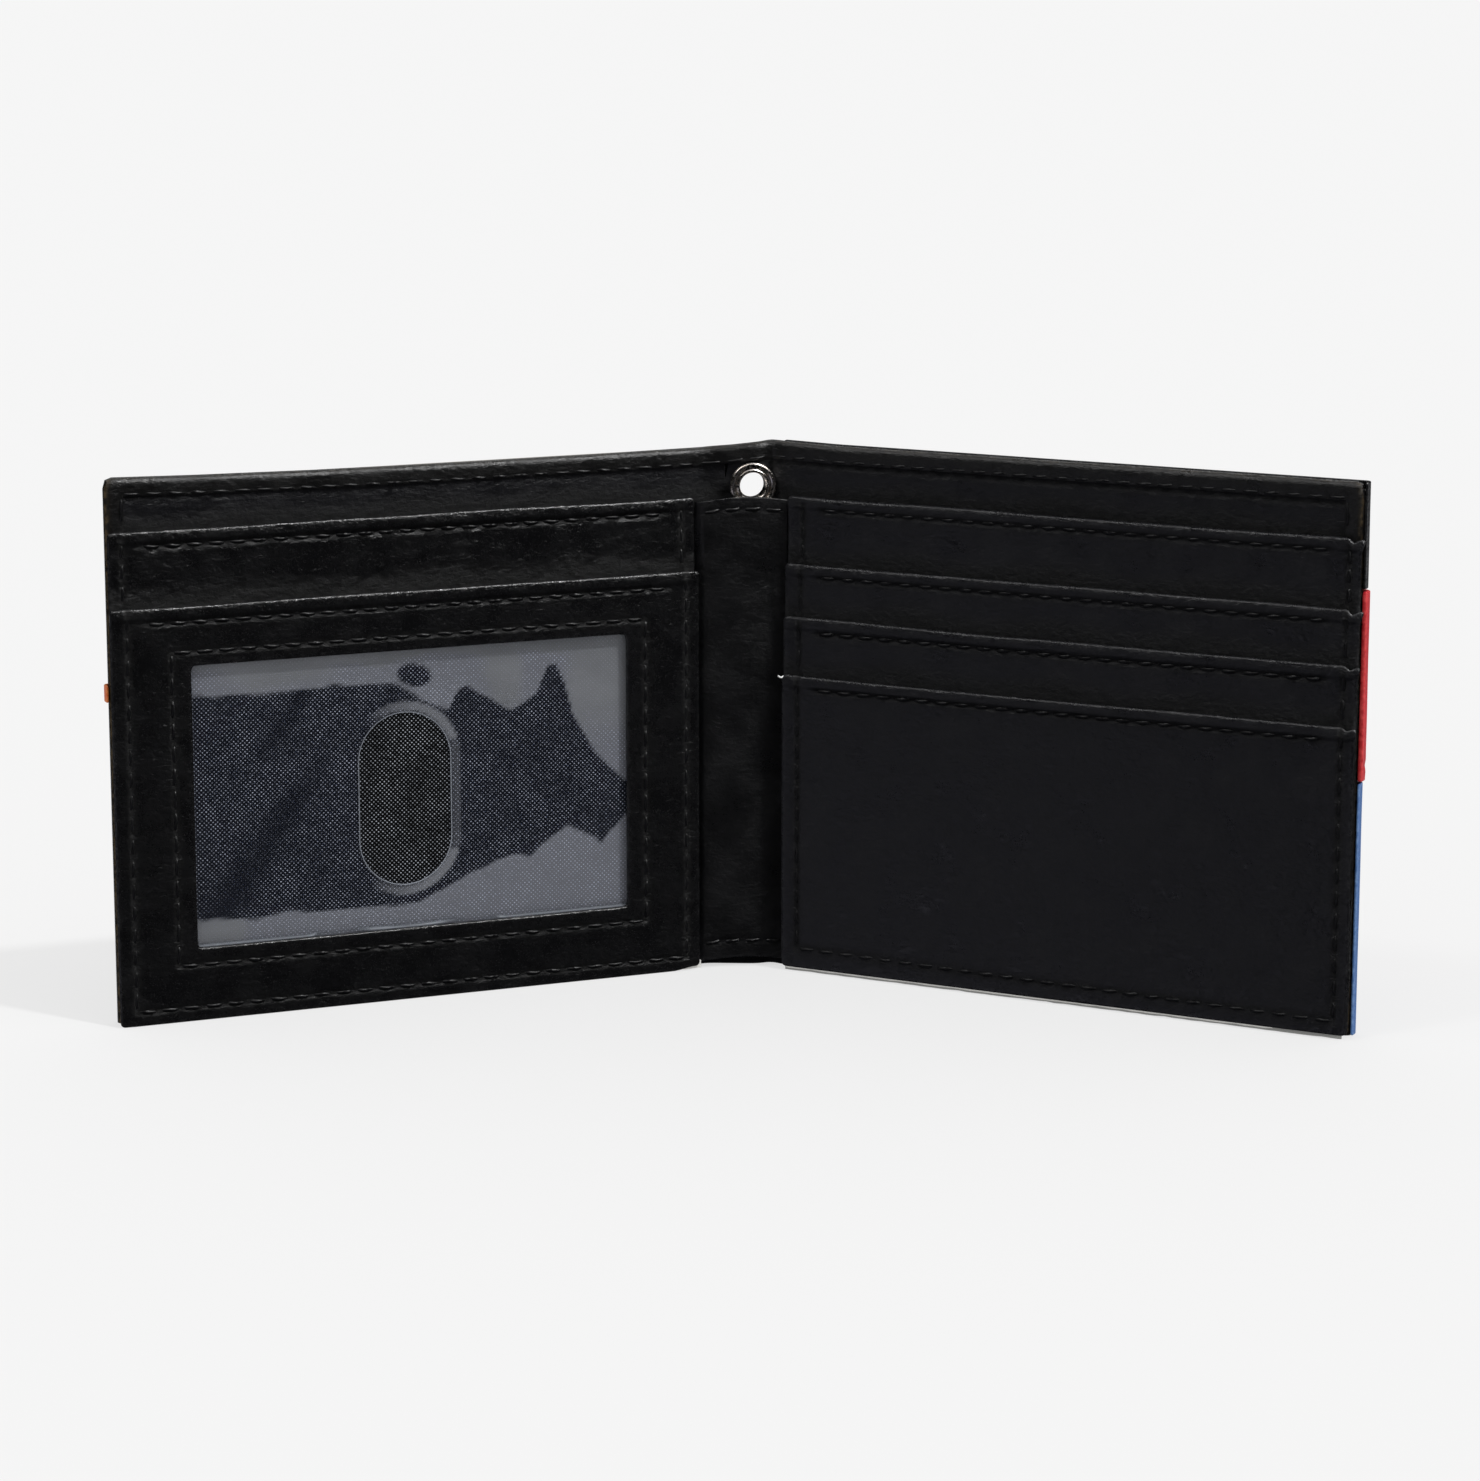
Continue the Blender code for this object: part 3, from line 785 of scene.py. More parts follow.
def paint_shade_and_matte(obj, s, z, lip, seams):
    """Marks the strip just above the next layer's lip and the seams' grooves for painted shade, darker and
    rougher there.
    """
    painted_mask = 1 - smooth((z - lip - 0.6 + 0.5 * np.sin(s * 0.23)) / 3.4)
    for line in seams:
        painted_mask = np.maximum(painted_mask, np.exp(-((seam_distance(s, z, line)[1] / 0.55) ** 2)))
    point_value(obj, "matte_and_painted_shade", painted_mask)


def with_hole(grid, low, high):
    """Grid lines with the hole's own sides on them, and close ones just outside it."""
    sides = [low, high] + [low - d for d in HOLE_STEPS] + [high + d for d in HOLE_STEPS]
    kept = [v for v in grid if min(abs(v - x) for x in sides) > 0.05]
    return np.array(sorted(kept + sides))


def run(line, depth, facing=-1):
    """A run of stitches at one depth, from a seam's line."""
    (s0, z0), (s1, z1) = line
    return [(s0, depth, z0), (s1, depth, z1)], facing


def build_left_pockets():
    frame_span = LEFT.span("id_frame")
    wall_span = LEFT.span("left_bill_wall")
    s0, z0, s1, z1 = seam_box(LEFT, "left_stack_seam")
    wall_hem = across(LEFT, "left_wall_hem_seam")
    frame_hem = across(LEFT, "id_frame_hem_seam")
    loop = around(seam_box(LEFT, "id_window_seam"))
    sides = [((s0, z0), (s0, z1)), ((s1, z1), (s1, z0)), ((s0, z0), (s1, z0))]
    pocket("left_bill_wall_leather", LEFT, "left_bill_wall", BLACK, sides[:2] + [wall_hem],
           z_from=frame_span.z1 - 3, wrinkles=0.14, swell=0.26, step=PITCH / 6, grow=(0.0, -0.45, 0.0))
    pocket("id_frame_leather", LEFT, "id_frame", BLACK, sides + [frame_hem] + loop,
           hole=(*WINDOW, 0.8), rough=0.06, swell=0.24, grow=(0.0, 0.0, frame_span.z0 - 0.02), foot_lift=0.5)
    rows = {
        "left_wall_hem_seam": [run(wall_hem, wall_span.b0 + 0.06)],
        "id_frame_hem_seam": [run(frame_hem, frame_span.b0 + 0.06)],
        "id_window_seam": [run(line, frame_span.b0 + 0.09) for line in loop],
        "left_stack_seam": side_runs(s0, s1, z0, z0, [(wall_span.b0, z1), (frame_span.b0, frame_span.z1)]),
    }
    for seed, (node, runs) in enumerate(rows.items(), 2):
        seam(node, runs, LEFT.at, LEFT.body, seed)


def side_runs(inner, outer, foot_inner, foot_outer, steps):
    """Runs down both sides of a stack and along its foot. steps are each layer's front and top."""
    runs = []
    for s, foot in ((inner, foot_inner), (outer, foot_outer)):
        for i, (depth, top) in enumerate(steps):
            end = foot if i == len(steps) - 1 else steps[i + 1][1] + 0.5
            start = top if i == 0 else top - 0.3
            runs.append(run(((s, start), (s, end)), depth + 0.2))
    runs.append(run(((inner, foot_inner), (outer, foot_outer)), steps[-1][0] + 0.09))
    return runs


def build_card_pockets():
    s0, z_low, s1, z1 = seam_box(RIGHT, "right_stack_seam")
    foot_inner, foot_outer = z_low + 1.1, z_low
    wall = RIGHT.span("right_bill_wall")
    words = ("upper", "middle", "lower")
    spans = [RIGHT.span(f"card_pocket_{word}") for word in words]
    sides = [((s0, foot_inner), (s0, z1)), ((s1, z1), (s1, foot_outer))]
    hem = across(RIGHT, "right_wall_hem_seam")
    pocket("right_bill_wall_leather", RIGHT, "right_bill_wall", BLACK_PAINTED_SHEEN, sides + [hem],
           z_from=spans[0].z1 - 3, ear=0.75, swell=0.24, grow=(0.4, -0.9, 0.0))
    seam("right_wall_hem_seam", [run(hem, wall.b0 + 0.06)], RIGHT.at, RIGHT.body, 11)
    for i, word in enumerate(words):
        hem = across(RIGHT, f"card_hem_{word}_seam")
        seams = sides + [hem]
        lowest = word == "lower"
        if lowest:
            seams.append(((s0, foot_inner), (s1, foot_outer)))
        pocket(f"card_pocket_{word}_leather", RIGHT, f"card_pocket_{word}", BLACK_PAINTED_SHEEN, seams,
               z_from=None if lowest else spans[i + 1].z1 - 3, ear=0.8 - 0.15 * i, swell=0.28, rough=0.09,
               grow=(0.4, -0.55, 0.7 if lowest else 0.0))
        seam(f"card_hem_{word}_seam", [run(hem, spans[i].b0 + 0.04)], RIGHT.at, RIGHT.body, 12 + i)
    steps = [(wall.b0, z1)] + [(span.b0, span.z1) for span in spans]
    seam("right_stack_seam", side_runs(s0, s1, foot_inner, foot_outer, steps), RIGHT.at, RIGHT.body, 16)


def build_thread_end():
    """The pale cut end of the seam's thread, beside the lowest card pocket's top edge."""
    own = RIGHT.span("card_pocket_lower")
    s, z, b = own.s0 - 0.55, own.z1 - 0.5, own.b0 + 0.1
    nub = [([(s - 0.7, b, z + 0.35), (s + 0.1, b, z), (s + 0.9, b, z + 0.25)], -1)]
    obj = stitches("thread_end", nub, RIGHT.at, RIGHT.body, [], radius=0.15, pitch=1.2, seed=61)
    dress(obj, NUB_LOOK)


def ply(name, half, s_ends, z_ends, b_ends, look, nodes=(), ahead=0.0):
    """A layer of backing, its cut foot a little frayed. ahead is how far its foot stands to the front."""
    def forward(s, b, z):
        return half.at(s, b - ahead * smooth((7 - z) / 5), z)

    def front(s, z):
        return b_ends[0] + waves(s, z, 6.0, 0.05, z_ends[1])

    obj = sheet(name, forward, lines(*s_ends, 1.6), lines(*z_ends, 1.5), front, level(b_ends[1]), 0.06)
    for v in obj.data.vertices:
        if v.co.z < (z_ends[0] + 0.5) * MM:
            v.co.z += 0.14 * MM * max(-0.3, noise.noise(Vector((v.co.x, v.co.y, 0)) / MM * 0.9))
    settle(obj, look, half.body, nodes)


def build_backing():
    """The pale two-ply backing whose raw edge shows below the pockets, and its frayed end at the spine."""
    span = RIGHT.span("card_pocket_backing")
    middle = (span.b0 + span.b1) / 2
    ply("card_pocket_backing_paper", RIGHT, (span.s0 - 0.3, 87.0), (0.36, span.z1),
        (span.b0 - 0.02, middle - 0.02), PALE, ["card_pocket_backing"], ahead=1.15)
    ply("card_pocket_backing_ply", RIGHT, (span.s0 - 0.5, span.s1), (0.02, span.z1 - 1),
        (middle + 0.02, span.b1), GREY_PLY, ahead=1.15)
    back = LEFT.span("id_frame").b1
    ply("left_foot_paper", LEFT, (-0.4, 3.2), (0.02, 1.4), (back + 0.05, back + 0.17), PALE)


# ---------------------------------------------------------------- window

SLOT_RADIUS = (SLOT[2] - SLOT[0]) / 2
SLOT_MIDDLE = (SLOT[0] + SLOT[2]) / 2
UPPER_EDGE = (
    (13.0, 33.5), (15.5, 35.7), (17.4, 37.7), (18.7, 39.5), (22.0, 45.6), (23.4, 50.7), (24.9, 53.9),
    (26.4, 53.7), (28.3, 49.2), (32.9, 46.9), (37.0, 49.2), (40.4, 51.5), (41.7, 51.1), (43.7, 47.6),
    (47.9, 49.4), (52.1, 52.5), (62.6, 53.1), (74.6, 52.5), (81.8, 52.9), (87.0, 52.9),
)  # where the vinyl lifts off the lining, as (s, z): above this line
LOWER_EDGE = (
    (13.0, 27.5), (14.1, 26.3), (15.5, 25.1), (17.2, 22.7), (18.4, 24.2), (20.6, 25.3), (23.2, 26.6),
    (25.0, 25.5), (27.5, 23.5), (29.7, 21.9), (33.3, 22.4), (36.1, 21.5), (39.7, 20.0), (44.3, 18.1),
    (49.8, 15.6), (58.1, 15.7), (65.0, 15.9), (70.9, 16.2), (78.2, 15.5), (87.0, 16.3),
)  # and below this one


def standoff_and_painted_reflection_at(s, z):
    """From 0, where the vinyl clings to the lining, to 1, where it stands off; there a painted reflection makes
    the cloth under it pale.
    """
    wobble = waves(s, z, 2.6, 0.35, 1.3)
    above = z + wobble - np.interp(s, *zip(*UPPER_EDGE))
    below = np.interp(s, *zip(*LOWER_EDGE)) - z + wobble
    blob = 1 - np.hypot((s - 49.4) / 2.9, (z - 53.8 - 0.15 * (s - 49.4)) / 1.9)
    outside = np.minimum(np.maximum(above, below), -blob * 2)
    return smooth(outside / 0.5 + 0.5)


def painted_reflection_haze_at(s, z):
    """Where a painted reflection on the standing-off vinyl hides the weave: along the top, at the spine end and
    in a few patches.
    """
    wander = waves(s, z, 9.0, 2.0, 4.4) + waves(s, z, 3.0, 0.5, 8.1)
    top = smooth((z - 55.9 + wander) / 0.8)
    spine_end = smooth((23.6 - s + 0.6 * wander) / 2.6) * smooth((z - 38) / 10)
    middle = smooth((1 - np.hypot((s - 34.3 + 0.8 * wander) / 4.6, (z - 54) / 10)) / 0.5)
    outer = smooth((1 - np.hypot((s - 72) / 13, (z - 57.5 - wander) / 5)) / 0.6)
    foot = smooth((s - 78 + wander) / 2) * smooth((18 - z) / 3)
    return np.max([top, spine_end, middle, outer, foot], axis=0)


def slot_distance(s, z):
    """Distance outside the thumb slot's rounded edge; negative inside it."""
    z_round = np.clip(z, SLOT[1] + SLOT_RADIUS, SLOT[3] - SLOT_RADIUS)
    return np.hypot(s - SLOT_MIDDLE, z - z_round) - SLOT_RADIUS


def slot_welt_painted_highlight(s, z):
    """A painted highlight round the slot, where the welt catches light at its top, spine side and foot."""
    out = slot_distance(s, z)
    inward = (SLOT_MIDDLE - s) / SLOT_RADIUS
    upward = (z - np.clip(z, SLOT[1] + SLOT_RADIUS, SLOT[3] - SLOT_RADIUS)) / SLOT_RADIUS
    facing = np.clip(0.75 * inward + 0.5 * np.abs(upward) + 0.1, 0, 1)
    side = 1 - 0.8 * smooth((inward - 0.7) / 0.3) * (np.abs(upward) < 0.35)
    band = smooth((out - 0.1) / 0.3) * (1 - smooth((out - 1.55) / 0.4))
    return band * facing * side


def build_window():
    span = LEFT.span("id_window")
    s_lines = with_hole(lines(span.s0, span.s1, 0.5), SLOT[0], SLOT[2])
    z_lines = with_hole(lines(span.z0, span.z1, 0.5), SLOT[1], SLOT[3])

    def front(s, z):
        lift = waves(s, z, 21.0, 0.12, 2.9) + waves(s, z, 8.0, 0.04, 6.1)
        out = slot_distance(s, z)
        welt = 0.1 * smooth((out - 0.1) / 0.5) * (1 - smooth((out - 1.4) / 0.5))
        return span.b0 + 0.16 + np.clip(lift, -0.12, 0.14) - 0.1 * standoff_and_painted_reflection_at(s, z) - welt

    obj = sheet("id_window_vinyl", LEFT.at, s_lines, z_lines, front, lambda s, z: front(s, z) + 0.18,
                0.08, 1.0, [(*SLOT, SLOT_RADIUS - 0.01)])
    s, z = flat_places(obj)
    # painted highlight: the vinyl's outer and lower cut edges and the slot's lip are painted pale
    side = np.minimum(WINDOW[2] - s, z - WINDOW[1])
    bright = np.exp(-(((side - 0.12) / 0.2) ** 2)) * (side > -0.6)
    lip = np.exp(-((slot_distance(s, z) / 0.16) ** 2)) * 0.75
    point_value(obj, "painted_edge_highlight", np.clip(np.maximum(bright * 0.85, lip), 0, 1))
    settle(obj, FILM, LEFT.body, ["id_window"])


def flat_places(obj):
    """The s and z of each point of a sheet."""
    flat = np.zeros(len(obj.data.vertices) * 3, np.float32)
    obj.data.attributes["flat"].data.foreach_get("vector", flat)
    return flat[0::3].astype(float), flat[1::3].astype(float)


def build_woven():
    span = LEFT.span("id_pocket_lining")

    def front(s, z):
        return span.b0 + 0.05 + waves(s, z, 14.0, 0.05, 8.8)

    obj = sheet("id_pocket_woven", LEFT.at, lines(span.s0, span.s1, 0.5), lines(span.z0, span.z1, 0.5),
                front, level(span.b1), 0.1, 1.0)
    s, z = flat_places(obj)
    bare = smooth(-slot_distance(s, z) / 0.4 + 0.6)
    along = (s - 66) * 0.58 - (z - 40) * 0.81
    off = (s - 66) * 0.81 + (z - 40) * 0.58
    # painted shadow: a widening diagonal streak and a short one beside it, where the glints are dimmed
    shade = smooth((along + 9) / 18) * np.exp(-((off / (1.2 + 0.1 * np.clip(along + 6, 0, 22))) ** 2))
    shade = np.maximum(shade, 0.8 * np.exp(-((((s - 70) * 0.81 + (z - 50) * 0.58) / 1.4) ** 2)) * (along < 4))
    # painted highlight: the slot welt's ring lightens the cloth round the slot
    ring, lifted = slot_welt_painted_highlight(s, z), standoff_and_painted_reflection_at(s, z)
    painted_mask = np.maximum(painted_reflection_haze_at(s, z) * lifted, 0.6 * ring)
    # painted reflection: the cloth is marked pale where the vinyl stands off and in hazy patches
    point_value(obj, "painted_reflection", np.clip(lifted + 0.9 * ring, 0, 1))
    point_value(obj, "painted_reflection_haze", painted_mask)
    point_value(obj, "bare", bare)
    # the glints are dimmed under the painted shadow and the painted reflection
    point_value(obj, "shown", np.clip((1 - 0.85 * shade * (1 - bare)) * (1 - 0.8 * painted_mask), 0, 1))
    settle(obj, WOVEN, LEFT.body, ["id_pocket_lining"])


# ---------------------------------------------------------------- cover, lining and spine

COVER_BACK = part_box("spine_cover")[1].y / MM


def spine_s(half, x):
    """Where a place on the flat spine lies along a half's cover."""
    return half.side * x - half.fold_x - half.start


def eyelet_place():
    low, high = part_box("eyelet")
    return (low.x + high.x) / 2 / MM, (low.z + high.z) / 2 / MM + 0.5


def eyelet_hole(half):
    x, z = eyelet_place()
    s, r = spine_s(half, x), EYELET_HOLE
    return s - r, z - r, s + r, z + r, r - 0.01


def hem_front(half):
    """The depth of the turned edge's face."""
    return half.span(f"{half.word}_lining").b0 - HEM_LIFT


def outer_edge(half):
    return half.span(f"{half.word}_cover").s1 - OUTER_TRIM[half.word]


def lines_over_fold(start, end, close, clear):
    """Grid lines from start to end, with close ones where the sheet bends."""
    even = lines(start, end, 1.2, edge=())
    return np.array(sorted(set(np.round(np.concatenate([even, close[close > start + clear]]), 3))))


def hem_profile(radius, middle, front_b):
    """Points round the cover's turned edge, from back to front, as (distance in from the edge, depth)."""
    turns = np.linspace(0, math.pi, 9)
    over = [(radius - radius * math.sin(a), middle + radius * math.cos(a)) for a in turns]
    down = [(d, front_b) for d in (1.4, 1.8, 2.2, 2.45, 2.65, 2.85)]
    return over + down + [(HEM, front_b + 0.1), (HEM + 0.03, front_b + 0.3)]


def build_cover(half, start_s):
    """The cover's leather: a skin that bends at the fold, its top and outer edges turned to the front."""
    span = half.span(f"{half.word}_cover")
    back_b, top, outer_s, hem_b = span.b1, span.z1, outer_edge(half), hem_front(half)
    radius = (back_b - hem_b) / 2
    profile = hem_profile(radius, (back_b + hem_b) / 2, hem_b)
    s_lines = lines_over_fold(start_s, outer_s - radius, np.arange(-6.2, 1.2, 0.4), 0.2)
    z_lines = lines(0.0, top - radius, 1.5, edge=())
    hole = eyelet_hole(half)
    has_hole = start_s < hole[0]
    if has_hole:
        s_lines = with_hole(s_lines, hole[0], hole[2])
        z_lines = with_hole(z_lines, hole[1], hole[3])
    keys, points, faces = {}, [], []

    def vertex(s, z, b):
        key = (round(s, 4), round(z, 4), round(b, 4))
        if key not in keys:
            keys[key] = len(points)
            points.append((s, z, b))
        return keys[key]

    def stretch(value, start, limit, end):
        return value if value <= start else start + (value - start) * (end - start) / (limit - start)

    def pulled(along, d, b):
        if d <= 2:
            return b
        hole_near = 0.5 + 0.5 * math.cos(2 * math.pi * along / PITCH)
        return b + 0.13 * math.exp(-(((d - HEM_SEAM) / 0.35) ** 2)) * hole_near

    def quads(grid):
        for row, following in zip(grid, grid[1:]):
            for a, b, c, d in zip(row, row[1:], following[1:], following):
                corners = [a, b, c, d]
                if len(set(corners)) > 2:
                    faces.append([v for i, v in enumerate(corners) if v not in corners[:i]])

    skin = []
    for s in s_lines:
        skin.append([vertex(s, z, back_b) for z in z_lines])
    for i in range(len(s_lines) - 1):
        for j in range(len(z_lines) - 1):
            mid_s, mid_z = (s_lines[i] + s_lines[i + 1]) / 2, (z_lines[j] + z_lines[j + 1]) / 2
            if has_hole and hole[0] < mid_s < hole[2] and hole[1] < mid_z < hole[3]:
                continue
            faces.append([skin[i][j], skin[i][j + 1], skin[i + 1][j + 1], skin[i + 1][j]])
    over_top = [
        [vertex(stretch(s, outer_s - 7, outer_s - radius, outer_s - d), top - d, pulled(s, d, b))
         for d, b in profile]
        for s in s_lines
    ]
    quads(over_top)
    over_side = [
        [vertex(outer_s - d, stretch(z, top - 7, top - radius, top - d), pulled(z, d, b)) for d, b in profile]
        for z in z_lines
    ]
    quads([row[::-1] for row in over_side])
    points = np.array(points)
    s, z, b = points.T
    hem_face = [min(points[i][2] for i in f) < hem_b + 0.4 for f in faces]
    edge_near = np.minimum(outer_s - s, 0.5 + top - z)
    s, z = round_corner(s, z, (outer_s, top), (1, 1), 1.4)
    if has_hole:
        s, z = all_corners(s, z, hole[:4], hole[4], 0.5 * hole[4])
    b = b + waves(s, z, 20.0, 0.1, half.side * 1.9) * (b > back_b - 0.01)
    obj = to_mesh(f"{half.word}_cover_leather", half.along_cover(s, b, z), faces)
    point_value(obj, "edge", np.exp(-((edge_near / 0.5) ** 2)) * 0.8)
    face_back(obj)
    obj.data.materials.append(BLACK)
    obj.data.materials.append(HEM_LOOK)
    for face, is_hem in zip(obj.data.polygons, hem_face):
        face.material_index = int(is_hem)
    thicken(obj, 0.5)
    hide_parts(f"{half.word}_cover", "spine_cover")
    bend(obj, half, *COVER_BEND)


def face_back(obj):
    """Turns an open sheet over if its flat skin doesn't face away from the pockets."""
    with shape_of(obj) as shape:
        bmesh.ops.recalc_face_normals(shape, faces=shape.faces)
        largest = max(shape.faces, key=lambda f: f.calc_area())
        if largest.normal.y < 0:
            bmesh.ops.reverse_faces(shape, faces=shape.faces)


def thicken(obj, thickness):
    """Gives an open sheet its thickness inward, and makes that its mesh."""
    solid = obj.modifiers.new("thickness", "SOLIDIFY")
    solid.thickness = thickness * MM
    solid.offset = -1
    solid.use_even_offset = True
    bpy.context.view_layer.update()
    graph = bpy.context.evaluated_depsgraph_get()
    mesh = bpy.data.meshes.new_from_object(obj.evaluated_get(graph))
    obj.modifiers.clear()
    obj.data = mesh
    mesh.set_sharp_from_angle(angle=math.radians(42))


def build_lining(half, start_s):
    """The smooth lining inside the cover, seen above the pockets."""
    span = half.span(f"{half.word}_lining")
    edge = half.span(f"{half.word}_edge_seam")
    low_top = half.span(f"{half.word}_bill_wall").z1 - 4
    seams = [((start_s - 9, edge.z1 - 0.6), (outer_edge(half), edge.z1 - 0.6))]
    hole = eyelet_hole(half)
    s_lines = lines_over_fold(start_s, span.s1, np.arange(-6.0, 0.8, 0.5), 0.3)
    z_lines = np.concatenate([np.linspace(span.z0, low_top, 12)[:-1], lines(low_top, span.z1, 0.7)])
    holes = ()
    if start_s < hole[0]:
        s_lines, z_lines = with_hole(s_lines, hole[0], hole[2]), with_hole(z_lines, hole[1], hole[3])
        holes = [hole]

    def front(s, z):
        swag = waves(s, z, 15.0, 0.1, half.side * 4.0) + waves(s, z, 2.2, 0.02, 3.0, 1.5)
        ds, dz = s - (hole[0] + hole[2]) / 2, z - (hole[1] + hole[3]) / 2
        far = np.hypot(ds, dz)
        near_eyelet = np.exp(-((far / 5.0) ** 2))
        puckers = 0.2 * np.exp(-(((far - 5.2) / 1.6) ** 2)) * np.cos(7 * np.arctan2(dz, ds) + 0.3 * far)
        swag = swag * (1 - near_eyelet) * (z > low_top - 4) + np.maximum(puckers, -0.12)
        return span.b0 + 0.05 + swag + seam_groove(s, z, seams, 0.1, 0.6)

    obj = sheet(f"{half.word}_lining_leather", half.along_cover, s_lines, z_lines, front,
                level(span.b1), 0.12, 0.0, holes, open_sides="if")
    s, _, z = half.places(obj)
    # painted shade above the pockets' top, and along the seam
    paint_shade_and_matte(obj, s, z, low_top + 3.6, seams)
    settle(obj, LINING, None, [f"{half.word}_lining", "spine_lining"])
    bend(obj, half, *COVER_BEND)


def build_edge_stitches(half, start_s):
    """The seam that holds the turned edge, along the top and down to the pockets."""
    depth = hem_front(half) + 0.07
    corner = outer_edge(half) - HEM_SEAM
    z = half.span(f"{half.word}_cover").z1 - HEM_SEAM
    foot = half.span(f"{half.word}_edge_seam").z0
    on_spine = spine_s(half, half.side * (half.fold_x - 1.2))
    past_fold = spine_s(half, half.side * (half.fold_x + 2.0))
    runs = [run(((past_fold, z), (corner, z)), depth), run(((corner, z), (corner, foot)), depth)]
    seam(f"{half.word}_edge_seam", runs, half.along_cover, half.body, 21)
    if start_s > on_spine:
        return
    runs = [run(((start_s, z), (past_fold, z)), depth)]
    obj = stitches(f"{half.word}_fold_edge_stitches", runs, half.along_cover, None, ["spine_edge_seam"],
                   seed=23)
    bend(obj, half, *COVER_BEND)


STRIP_ENDS = (-8.3, 7.5)


def strip_y(x):
    """The spine strip's front, as a shallow curve that comes forward to the left pockets."""
    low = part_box("spine_strip")[0]
    tucked = 1.5 * smooth((-6.5 - x) / 1.6)
    return low.y / MM + 0.02 + 0.13 * x - 0.004 * x * x + tucked


def build_strip():
    """The leather strip down the inside of the spine, in two lengths that meet where it doesn't bend."""
    low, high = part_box("spine_strip")
    foot, top = low.z / MM, high.z / MM
    thick = (high.y - low.y) / MM
    seam_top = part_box("spine_strip_top_seam")[0].z / MM + THREAD
    seam_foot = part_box("spine_strip_foot_seam")[0].z / MM + THREAD
    z_lines = lines(foot, top, 1.6, [seam_top, seam_foot])

    def place(s, b, z):
        arch = 0.75 * (1 - ((s - 0.8) / 8.0) ** 2)
        at_top, at_foot = smooth((z - 70) / 10) * (arch - 0.75), smooth((10 - z) / 10) * (arch + 0.1)
        lifted = z + np.where(z > 40, at_top, at_foot)
        return np.stack(np.broadcast_arrays(s, strip_y(s) + b, lifted), -1)

    def front(s, z):
        across_strip = np.cos((s - 0.2) / 7.5 * math.pi)
        bow = -0.3 * across_strip * smooth((z - 3) / 8) * smooth((78 - z) / 8)
        seams = [((-9, seam_top), (9, seam_top)), ((-9, seam_foot), (9, seam_foot))]
        return bow + waves(s, z, 6.0, 0.09, 2.2, 0.45) + seam_groove(s, z, seams, 0.14)

    for half, x0, x1, joined in ((LEFT, STRIP_ENDS[0], 0.0, "o"), (RIGHT, 0.0, STRIP_ENDS[1], "i")):
        x_lines = lines(x0, x1, 0.7, edge=(0.1, 0.25))
        obj = sheet(f"spine_strip_{half.word}_leather", place, x_lines, z_lines, front, level(thick), 0.2,
                    open_sides=joined)
        settle(obj, STRIP_LOOK, None, ["spine_strip"])
        bend(obj, half, *STRIP_BEND)
        for word, z in (("top", seam_top), ("foot", seam_foot)):
            runs = [([(x, 0.04, z) for x in np.linspace(max(x0, -6.6), min(x1, 6.9), 5)], -1)]
            row = stitches(f"spine_strip_{word}_{half.word}_stitches", runs, place, None,
                           [f"spine_strip_{word}_seam"], seed=31, pitch=2.9)
            bend(row, half, *STRIP_BEND)


# ---------------------------------------------------------------- eyelet

def turned_ring(name, profile, centre, turn, steps=72):
    """A metal ring turned about the eyelet's axis. profile is (radius, depth) going round its section."""
    radius, y = np.array(profile).T
    points = []
    for a in np.linspace(0, 2 * math.pi, steps, endpoint=False):
        x, z = radius * math.cos(a), radius * math.sin(a)
        wx = x * math.cos(turn) - y * math.sin(turn)
        wy = x * math.sin(turn) + y * math.cos(turn)
        points.append(np.stack([centre[0] + wx, centre[1] + wy, centre[2] + z], -1))
    obj = to_mesh(name, np.concatenate(points), tube(steps, len(profile), closed=True), sharp=50)
    outward(obj)
    return obj


def arc(centre, radius, start, end, steps=7):
    """Points of an arc in a ring's section, as (radius, depth)."""
    turns = np.radians(np.linspace(start, end, steps))
    return [(centre[0] + radius * math.cos(t), centre[1] + radius * math.sin(t)) for t in turns]


def build_eyelet():
    x, z = eyelet_place()
    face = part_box("eyelet")[0].y / MM
    back = COVER_BACK + crease(x) + 0.25
    lean = math.radians(11)
    depth = back - face
    outline = arc((3.42, 0.48), 0.48, 0, -180) + [(2.86, 0.34)]
    outline += arc((2.5, 0.42), 0.3, -30, -170, 6)
    outline += [(2.16, 0.75), (2.12, 1.4), (2.12, depth - 0.5), (2.16, depth + 0.1)]
    outline += arc((2.62, depth + 0.05), 0.42, 160, 20, 6)
    outline += [(2.5, depth - 0.3), (2.36, 1.2), (2.6, 0.85), (3.4, 0.72), (3.88, 0.6)]
    ring = arc((3.5, 0.3), 0.3, -90, 90, 6) + arc((3.08, 0.2), 0.14, 60, 180, 4) + [(2.94, 0.0)]
    for node, profile, y in (("eyelet", outline, face), ("eyelet_washer", ring, back - 0.02)):
        obj = turned_ring(f"{node}_metal", profile, (x, y, z), lean)
        settle(obj, NICKEL, "spine", [node])


# ---------------------------------------------------------------- outer panels

